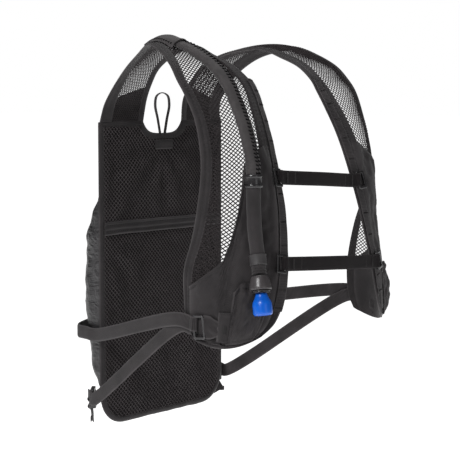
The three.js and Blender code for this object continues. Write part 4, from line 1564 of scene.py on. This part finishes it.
@dataclass
class Harness:
    """Chest straps, side straps and their fittings."""

    straps: dict[str, StrapForm]
    pouch: Pouch
    panel: BackPanel
    width: float = 16.5
    thickness: float = 1.6
    pad_face: float = 3.5
    ring_station: float = 18.05
    ring_across: float = 0.815
    spread: float = 3.0
    lap: float = 1.1
    level: float = -361.0
    rise: float = 18.0
    standoff: float = 7.0
    lock_turn: float = 50.0
    lock_level: float = -455.0
    tail: float = 14.0
    tail_sway: float = 7.8

    def build(self) -> None:
        """Builds all the webbing and fittings outside the shoulder straps."""
        self._chest("upper", {"left": 13.5, "right": 13.3})
        self._chest("lower", {"left": 16.0, "right": 15.65})
        rings = {name: self._ring(form) for name, form in self.straps.items()}
        self._wrap(rings)
        for name, form in self.straps.items():
            self._side(form, rings[name])

    def _chest(self, level: str, stations: dict[str, float]) -> None:
        """One chest strap, looped round a slider at each end, with doubled and tacked ends."""
        foot = 2.3 + 0.9 + 1.4
        ends, loops = [], []
        for name, form in self.straps.items():
            spot = form.spot(stations[name], 0.09, foot + 1.6)
            ROOM.fit(SLIDER.build(f"slider_{level}_{name}", spot), ACETAL, f"chest_slider_{level}_{name}")
            ends.append(spot.point - spot.over * 10.2)
            turns = ((1.9, -0.7), (3.4, 1.2), (5.9, 2.7), (8.2, 1.6))
            loops.append([spot.point - spot.over * out + spot.normal * lift for out, lift in turns])
        middle = (ends[0] + ends[1]) / 2 - BACK * 3
        path = [*loops[0], ends[0], middle, ends[1], *reversed(loops[1])]
        strap = webbing(f"chest_webbing_{level}", path, self.width, self.thickness, 150, UP, 0.9)
        # The nearly black copy of the webbing paints shade on the chest straps.
        ROOM.fit(strap, SHADED_CHEST_WEBBING, f"chest_strap_{level}")
        tacks = []
        for end, other in ((ends[0], ends[1]), (ends[1], ends[0])):
            run = (other - end).normalized()
            aside = Vector((0, 1, 0)) * 1.75
            fold = [end - run * 1.5 + aside * 0.7, *[end + run * far + aside for far in (8, 22, 30)]]
            name = f"chest_fold_{level}_{'left' if end.x > 0 else 'right'}"
            # Folded ends in the same nearly black copy: painted shade.
            ROOM.fit(webbing(name, fold, self.width - 0.6, 1.5, 40, UP, 0.3), SHADED_CHEST_WEBBING)
            for place in (9.0, 24.0):
                foot_point = end + run * place - BACK * 1.0
                tacks.append([(foot_point + UP * k, -BACK) for k in (-6.4, -3, 0, 3, 6.4)])
        ROOM.fit(stitches(f"chest_bartacks_{level}", tacks, *BAR_TACK), SEWING_THREAD)

    def _ring(self, form: StrapForm) -> Spot:
        """The D-ring on the pad."""
        spot = form.spot(self.ring_station, self.ring_across, self.pad_face + 0.25 + 1.5)
        ROOM.fit(D_RING.build("d_ring_moulded_" + form.name, spot), ACETAL, "d_ring_" + form.name)
        return spot

    def _leaving(self, form: StrapForm, ring: Spot, spread: float, offset: float) -> list[Vector]:
        """First points of a strap that leaves the D-ring."""
        end = ring.point + ring.over * 11.2 + ring.up * spread + ring.normal * offset
        past = form.spot(self.ring_station, 1.04, self.pad_face + 0.25 + 3 + offset)
        return [end, past.point + past.up * (1.3 * spread)]

    def _wrap(self, rings: dict[str, Spot]) -> None:
        """The long strap from ring to ring round the back of the pouch."""
        out = self.pouch.half_width + self.standoff
        depth = self.pouch.depth
        back = self.pouch.foot + self.pouch.section(0.6)[1] + 3 * self.thickness
        runs = []
        for name, form in self.straps.items():
            side, ring = form.side, rings[name]
            level = self.level + side * self.rise / 2
            turns = ((2.6, -0.4), (4.6, 1.4), (7.2, 3.0), (9.6, 2.4))
            start = ring.point + ring.up * self.spread
            hook = [start + ring.over * away + ring.normal * lift for away, lift in turns]
            around = [
                Vector((side * (out + 4), self.panel.middle, level)),
                Vector((side * out, self.panel.middle + 0.45 * depth, level)),
                Vector((side * (out - 0.2 * depth), back - 0.12 * depth, level)),
                Vector((side * 0.6 * self.pouch.half_width, back, self.level + side * 0.2 * self.rise)),
            ]
            runs.append([*hook, *self._leaving(form, ring, self.spread, self.lap), *around])
        path = [*runs[0], Vector((0, back, self.level)), *reversed(runs[1])]
        strap = webbing("wrap_webbing", path, self.width, self.thickness, 420, UP, 1.3)
        ROOM.fit(strap, WEBBING, "wrap_strap")

    def _side(self, form: StrapForm, ring: Spot) -> None:
        """The lower side strap, its ladder lock and its loose tail."""
        side, turn = form.side, math.radians(self.lock_turn)
        normal = Vector((side * math.cos(turn), math.sin(turn), 0))
        wide = Vector((side * math.sin(turn), -math.cos(turn), 0))
        lock = Vector((side * self.panel.half_width, self.panel.middle + 2.7, self.lock_level))
        lock = lock + normal * 8.5 - wide * 7.0
        spot = Spot(lock, normal, wide, UP)
        moulding = LADDER_LOCK.build("ladder_lock_moulded_" + form.name, spot)
        ROOM.fit(moulding, ACETAL, "ladder_lock_" + form.name)

        turns = ((15.5, 0, 0), (9, 3, 3.4), (0, 2, 5.9), (0, -4, 3.5))
        entry = [lock + wide * aside + UP * rise + normal * out for aside, rise, out in turns]
        run = [*self._leaving(form, ring, -self.spread, -self.lap), *entry]

        def broadside(a: float) -> Vector:
            share = smooth_step(0.72, 0.95, a)
            return UP * (1 - share) - wide * share

        strap = webbing("side_webbing_" + form.name, run, self.width, self.thickness, 170, broadside, 0.9)
        ROOM.fit(strap, WEBBING, "side_strap_" + form.name)

        top = lock - UP * (13 + 0.3 + 1.9)
        low = top + wide * self.tail_sway - UP * self.tail
        path = [lock - UP * 5 + normal * 2.5, lock - UP * 11 + normal * 6.0, top + normal * 2.4, low]
        tail = webbing("tail_webbing_" + form.name, path, self.width - 1.0, self.thickness, 44, wide, 0.8)
        ROOM.fit(tail, WEBBING, "strap_tail_" + form.name)
        hem = [low + UP * 6, low + UP * 3, low]
        fold = [p + normal * 1.7 for p in hem]
        ROOM.fit(webbing("tail_fold_" + form.name, fold, self.width - 1.4, 1.5, 14, wide, 0.2), WEBBING)


# Drinking tube and mouthpiece


@dataclass
class DrinkingTube:
    """The covered tube on the right strap, its keepers and the mouthpiece."""

    form: StrapForm
    sleeve: tuple[float, float] = (19.0, 13.0)
    cover: float = 17.0
    ring_diameter: float = 21.2
    ring_length: float = 16.0
    tab_length: float = 13.0
    hood_stations: tuple[float, float] = (4.6, 7.0)
    hood_rise: float = 10.0

    def _routes(self) -> tuple[list[tuple[float, ...]], list[tuple[float, ...]]]:
        """Rows of station, across, height, width and depth of the sleeve and of the cover."""
        wide, deep = self.cover / self.sleeve[0], self.cover / self.sleeve[1]
        sleeve = [
            (6.6, 0.72, 6.6, 0.8, 0.7),
            (7.1, 0.665, 7, 0.9, 0.76),
            (7.6, 0.61, 7.8, 1, 0.88),
            (8.6, 0.52, 8.5, 1, 1),
            (9.9, 0.51, 8.5, 1, 1),
            (11.1, 0.51, 8.8, 1, 1),
            (12.2, 0.5, 10.8, 1, 1),
            (12.8, 0.495, 13.2, 0.93, 1.15),
            (13.0, 0.49, 14.1, wide, deep),
            (13.25, 0.485, 14.1, wide, deep),
        ]
        cover = [
            (13.28, 0.485, 14.1, 1, 1),
            (14.3, 0.44, 14.1, 1, 1),
            (15.35, 0.36, 14.3, 1, 1),
            (15.8, 0.33, 15.6, 1, 1),
            (16.0, 0.32, 17.2, 1, 1),
        ]
        return sleeve, cover

    def build(self) -> None:
        """Builds the hood, the sleeve, the cover, the keepers and the mouthpiece."""
        sleeve, cover = self._routes()
        self._hood()
        self._sleeve(sleeve)
        self._cover(cover)
        self._keepers(cover)
        self._mouthpiece(cover)

    def _spot(self, row: Sequence[float]) -> Spot:
        """Place of a row of a route."""
        return self.form.spot(row[0], row[1], row[2])

    def _tube(
        self,
        name: str,
        rows: Sequence[Sequence[float]],
        size: tuple[float, float],
        steps: int,
        swell: Callable[[float, float, Vector], float],
    ) -> tuple[bpy.types.Object, list[list[Sewn]]]:
        """Soft tube of flat oval sections along a route.

        Args:
            name: The piece's name.
            rows: The route's rows.
            size: Width and depth that the rows' shares are of, in mm.
            steps: Number of rings, less one.
            swell: Height added at a share along, a turn round and a point, in mm.

        Returns:
            The tube, and its rings' points with their outward directions.
        """
        spots = [self._spot(row) for row in rows]
        path = [spot.point for spot in spots]
        around = 32
        rings, weave, skin = [], [], []
        length = 0.0
        for k in range(steps + 1):
            t = k / steps
            run = spline_run(path, t)
            at = t * (len(spots) - 1)
            low = min(int(at), len(spots) - 2)
            normal = spots[low].normal.lerp(spots[low + 1].normal, at - low)
            normal = (normal - normal.dot(run) * run).normalized()
            over = run.cross(normal)
            centre = spline(path, t)
            length += (centre - spline(path, (k - 1) / steps)).length if k else 0.0
            half_wide = mixed([row[3] for row in rows], t) * size[0] / 2
            half_deep = mixed([row[4] for row in rows], t) * size[1] / 2
            ring, threads, faces_out = [], [], []
            for i in range(around):
                turn = 2 * math.pi * (i + 0.5) / around
                out = over * math.cos(turn) * half_wide + normal * math.sin(turn) * half_deep
                extra = swell(t, turn, centre + out)
                point = centre + out + out.normalized() * extra
                ring.append(point)
                faces_out.append((point, out.normalized()))
                threads.append((abs(turn - math.pi) * half_wide, length, 0.0))
            rings.append(ring)
            weave.append(threads)
            skin.append(faces_out)
        return loft(name, rings, weave, flat=False, smooth_angle=60), skin

    def _hood(self) -> None:
        """The cloth hood on the shoulder that the sleeve comes out of."""
        stations = self.hood_stations

        def place(a: float, b: float, height: float) -> Vector:
            station = stations[0] + a * (stations[1] - stations[0])
            return self.form.spot(station, 0.76 - 0.085 * a + (b - 0.5) * 0.28, height).point

        def lining(a: float, b: float) -> float:
            arch = max(0.0, math.sin(math.pi * min(max(b, 0.0), 1.0))) ** 0.5
            return 2.6 + self.hood_rise * a * arch

        def outside(a: float, b: float) -> float:
            crease = 0.6 * ripple(place(a, b, 0.0), 12.0, 3.3) * smooth_step(0, 0.15, min(b, 1 - b))
            return lining(a, b) + 1.2 + crease + 0.8 * ridge(a, 0.97, 0.06) + 0.5 * ridge(a, 0.03, 0.06)

        hood = cloth("tube_hood_cloth", place, lining, outside, 40, 30)
        ROOM.fit(hood, SLEEVE_CLOTH, "tube_hood")
        lines = []
        for b in (0.05, 0.95):
            line = []
            for a in span(0.03, 0.97, 24):
                spot = self.form.spot(stations[0] + a * 2.4, 0.76 - 0.085 * a + (b - 0.5) * 0.28, 0)
                line.append((spot.point + spot.normal * (outside(a, b) + 0.1), spot.normal))
            lines.append(line)
        ROOM.fit(stitches("tube_hood_stitches", lines, 4.8, 4.2, 1.6, 70), WHIP_THREAD)

    def _sleeve(self, rows: Sequence[Sequence[float]]) -> None:
        """The long soft sleeve, with whip stitches along its neck side and beside it on the strap."""

        def swell(t: float, turn: float, point: Vector) -> float:
            ends = smooth_step(0.0, 0.04, min(t, 1 - t))
            pull = 0.35 * math.sin(150 * t + 2 * math.sin(turn))
            pull *= smooth_step(-0.2, 0.9, math.cos(turn + 0.5))
            return ends * (0.55 * ripple(point, 15.0, 6.4) + 0.3 * ripple(point, 7.0, 1.9) + pull)

        sleeve, skin = self._tube("tube_sleeve_cloth", rows, self.sleeve, 170, swell)
        ROOM.fit(sleeve, SLEEVE_CLOTH, "tube_sleeve")
        seams = [[ring[k] for ring in skin[8:-4]] for k in (8, 10)]
        lift = [[(point + out * 0.15, out) for point, out in seam] for seam in seams]
        stations = [row[0] for row in rows]

        def medial(station: float) -> float:
            i = max(1, next(k for k, s in enumerate(stations) if s >= station))
            share = (station - stations[i - 1]) / (stations[i] - stations[i - 1])
            middle = rows[i - 1][1] + share * (rows[i][1] - rows[i - 1][1])
            return middle - 12.6 / self.form.width(station)

        foot = self.form.line(medial, span(7.2, 12.9, 90), 3.2)
        ROOM.fit(stitches("tube_sleeve_whipstitch", [*lift, foot], 4.8, 4.6, 1.9, 68), WHIP_THREAD)

    def _cover(self, rows: Sequence[Sequence[float]]) -> None:
        """The plain cloth cover of the tube's lower part, hemmed at both ends."""

        def swell(t: float, turn: float, point: Vector) -> float:
            hem = 0.55 * (ridge(t, 0.02, 0.05) + ridge(t, 0.97, 0.05))
            bend = 0.5 * math.sin(46 * t) * smooth_step(0.5, 0.75, t) * smooth_step(-0.3, 0.8, math.sin(turn))
            return hem + bend + 0.35 * ripple(point, 14.0, 2.2)

        cover, skin = self._tube("tube_cover_cloth", rows, (self.cover, self.cover), 90, swell)
        ROOM.fit(cover, PAD_CLOTH, "tube_cover")
        seam = [(point + out * 0.1, out) for point, out in (ring[3] for ring in skin[4:-4])]
        rounds = [[(point + out * 0.1, out) for point, out in [*skin[k], skin[k][0]]] for k in (6, 84)]
        ROOM.fit(stitches("tube_cover_stitches", [seam, *rounds], 3.0, 2.0, 0.6), SEWING_THREAD)

    def _turned(
        self,
        name: str,
        profile: Sequence[tuple[float, float]],
        matrix: Matrix,
        bevel: float,
        hollow: bool = False,
    ) -> bpy.types.Object:
        """Round moulding, drawn out of a circle ring by ring.

        Args:
            name: The piece's name.
            profile: Radius and place along the axis of each ring, in mm.
            matrix: Where it goes, in metres, its axis along Z.
            bevel: Rounding of its sharp edges, in mm.
            hollow: Whether the last ring joins the first instead of ends being closed.

        Returns:
            The moulding.
        """
        bpy.ops.object.select_all(action="DESELECT")
        start, level = profile[0]
        bpy.ops.mesh.primitive_circle_add(vertices=48, radius=start * MM, location=(0, 0, level * MM))
        bpy.ops.object.transform_apply(location=True, rotation=False, scale=False)
        piece = bpy.context.active_object
        bpy.ops.object.mode_set(mode="EDIT")
        bpy.ops.mesh.select_all(action="SELECT")
        if not hollow:
            bpy.ops.mesh.edge_face_add()
            bpy.ops.mesh.select_mode(type="EDGE")
        for radius, place in profile[1:]:
            rise = {"value": (0, 0, (place - level) * MM)}
            bpy.ops.mesh.extrude_edges_move(TRANSFORM_OT_translate=rise)
            bpy.ops.transform.resize(value=(radius / start, radius / start, 1))
            start, level = radius, place
        if hollow:
            bpy.ops.mesh.select_all(action="SELECT")
            bpy.ops.mesh.remove_doubles(threshold=0.01 * MM)
        else:
            bpy.ops.mesh.edge_face_add()
        bpy.ops.mesh.select_all(action="SELECT")
        bpy.ops.mesh.normals_make_consistent(inside=False)
        bpy.ops.object.mode_set(mode="OBJECT")
        return finish_moulding(piece, name, bevel, matrix)

    def _ring_profile(
        self, bore: float, outer: float, half: float, steps: Sequence[tuple[float, float]]
    ) -> list[tuple[float, float]]:
        """Profile of a ring whose outer side has the same steps at both ends."""
        near = [(outer + out, -half + place) for out, place in steps]
        far = [(radius, -place) for radius, place in reversed(near)]
        return [(bore, -half), *near, *far, (bore, half), (bore, -half)]

    def _along(self, start: Vector, run: Vector) -> Matrix:
        """Matrix that puts a turned piece's axis along a direction."""
        return Matrix.Translation(start * MM) @ run.to_track_quat("Z", "Y").to_matrix().to_4x4()

    def _keepers(self, cover: Sequence[Sequence[float]]) -> None:
        """The moulded ring at the cover's top and the sewn loop lower down."""
        bore = self.cover / 2 + 0.6
        outer, half = self.ring_diameter / 2, self.ring_length / 2
        start, following = self._spot(cover[0]).point, self._spot(cover[1]).point
        start = start + (following - start).normalized() * 3.0
        matrix = self._along(start, (following - start).normalized())
        steps = ((-0.5, 0.0), (0.3, 1.6), (0.3, 3.2), (-0.4, 4.0))
        profile = self._ring_profile(bore, outer, half, steps)
        ring = self._turned("tube_keeper_moulded", profile, matrix, 0.35, hollow=True)
        ROOM.fit(ring, ACETAL, "tube_keeper_ring")
        place = (15.55, 0.345, 14.5)
        start, following = self._spot(place).point, self._spot(cover[3]).point
        matrix = self._along(start, (following - start).normalized())
        half = self.tab_length / 2
        profile = self._ring_profile(bore, outer, half, ((-0.8, 0.0), (-0.2, 0.8), (-0.5, 2.4)))
        loop = self._turned("tube_keeper_loop", profile, matrix, 0.3, hollow=True)
        ROOM.fit(loop, MOULDED_LOOP, "tube_keeper_tab")

    def _mouthpiece(self, cover: Sequence[Sequence[float]]) -> None:
        """The grey cap, the dark ring and the soft bite valve."""
        top = self._spot(cover[-1]).point
        axis = (self._spot((17.5, 0.24, 26)).point - top).normalized()
        matrix = self._along(top, axis)
        radius = 13.0
        shares = [(0.02, 0), (0.6, 0), (0.7, 0.03), (0.78, 0.1), (0.85, 0.25), (0.9, 0.4)]
        shares += [(0.945, 0.6), (0.975, 0.75), (1.0, 0.84), (1.0, 0.95), (0.95, 1.0), (0.02, 1.0)]
        dome = self._turned("valve_cap", [(r * radius, 1.5 + z * 17) for r, z in shares], matrix, 0.5)
        ROOM.fit(dome, GREY_CAP, "valve_dome")
        start = 1.5 + 17 + 0.3
        collar = [(0.3, 0), (9.6, 0), (11.0, 0.5), (11.0, 1.3), (10.4, 1.8)]
        collar += [(radius, 3.6 - place) for radius, place in reversed(collar[:-1])]
        ring = self._turned("valve_collar", [(r, start + z) for r, z in collar], matrix, 0.25)
        ROOM.fit(ring, ACETAL, "valve_ring")
        start += 3.6 + 0.3
        shape = [(0.2, 0), (6.6, 0), (7.0, 0.6), (7.2, 2.4), (8.2, 5.0), (9.7, 7.6)]
        shape += [(10.8, 9.8), (11.4, 12.4), (11.5, 16.0), (11.5, 20.0), (11.4, 22.6), (10.9, 24.3)]
        shape += [(9.8, 25.0), (8.9, 24.8), (8.4, 24.0), (6.0, 23.4), (3.0, 23.3), (0.2, 23.3)]
        valve = self._turned("bite_valve_silicone", [(r, start + z) for r, z in shape], matrix, 0.3)
        ROOM.fit(valve, SILICONE, "bite_valve")


# Studio


@dataclass
class Studio:
    """Pale floor, soft light and the camera."""

    floor_level: float = -1.05
    floor_size: float = 80.0
    camera_place: tuple[float, float, float] = (-1.4869, -1.2466, -0.0492)
    camera_aim: tuple[float, float, float] = (0.0, 0.001, -0.236)
    lens: float = 117.4
    sensor: float = 36.0
    air: float = 0.1

    def build(self) -> None:
        """Builds the floor, the lights and the camera."""
        self._floor()
        self._lights()
        self._camera()

    def _floor(self) -> None:
        """A matt pale floor well under the vest."""
        bpy.ops.object.select_all(action="DESELECT")
        bpy.ops.mesh.primitive_plane_add(size=self.floor_size, location=(0, 0, self.floor_level))
        floor = bpy.context.active_object
        floor.name = "studio_floor"
        bpy.ops.object.transform_apply(location=True, rotation=True, scale=True)
        material = bpy.data.materials.new("painted_floor_matt")
        material.use_nodes = True
        tree = material.node_tree
        shader = tree.nodes["Principled BSDF"]
        tone = blend(tree, noise_on(tree, 3.0, 2.0), "#fbfbfb", "#ffffff")
        tree.links.new(tone, shader.inputs["Base Color"])
        shader.inputs["Roughness"].default_value = 1.0
        shader.inputs["Specular IOR Level"].default_value = 0.0
        shader.inputs["Emission Color"].default_value = (1, 1, 1, 1)
        shader.inputs["Emission Strength"].default_value = 0.96
        floor.data.materials.append(material)

    def _lamp(self, name: str, place: Sequence[float], size: float, power: float) -> None:
        """A square soft light that faces the middle of the vest.

        Args:
            name: The light's name.
            place: Where it stands, in metres.
            size: Its side, in metres.
            power: Its power, in watts.
        """
        light = bpy.data.lights.new(name, "AREA")
        light.size = size
        light.energy = power
        lamp = bpy.data.objects.new(name, light)
        lamp.location = place
        aim = Vector((0.0, 0.0, -0.25)) - Vector(place)
        lamp.rotation_euler = aim.to_track_quat("-Z", "Y").to_euler()
        bpy.context.scene.collection.objects.link(lamp)

    def _lights(self) -> None:
        """Pale surroundings with a soft key, a fill and a light from above."""
        scene = bpy.context.scene
        scene.view_settings.view_transform = "Standard"
        world = bpy.data.worlds.new("studio_air")
        scene.world = world
        world.use_nodes = True
        world.node_tree.nodes["Background"].inputs["Color"].default_value = (1, 1, 1, 1)
        tree = world.node_tree
        seen = add_node(tree, "ShaderNodeLightPath")
        span_of = {"To Min": self.air, "To Max": 1.0}
        level = add_node(tree, "ShaderNodeMapRange", span_of, {"Value": seen.outputs["Is Camera Ray"]})
        tree.links.new(level.outputs[0], tree.nodes["Background"].inputs["Strength"])
        self._lamp("key_light", (-2.2, -0.3, 1.4), 0.8, 58)
        self._lamp("fill_light", (-0.6, -2.8, 0.5), 1.2, 7)
        self._lamp("top_light", (0.3, 0.3, 2.2), 0.9, 30)

    def _camera(self) -> None:
        """The camera at the photograph's angle."""
        lens = bpy.data.cameras.new("camera")
        lens.lens = self.lens
        lens.sensor_width = self.sensor
        camera = bpy.data.objects.new("camera", lens)
        camera.location = self.camera_place
        aim = Vector(self.camera_aim) - Vector(self.camera_place)
        camera.rotation_euler = aim.to_track_quat("-Z", "Y").to_euler()
        bpy.context.scene.collection.objects.link(camera)
        bpy.context.scene.camera = camera


def main() -> None:
    """Builds the vest's pieces in order."""
    Studio().build()
    straps = {name: StrapForm(name, side) for name, side in (("left", 1), ("right", -1))}
    for form in straps.values():
        ShoulderStrap(form).build()
    panel = BackPanel()
    panel.build()
    pouch = Pouch()
    pouch.build()
    Harness(straps, pouch, panel).build()
    DrinkingTube(straps["right"]).build()


if __name__ == "__main__":
    main()
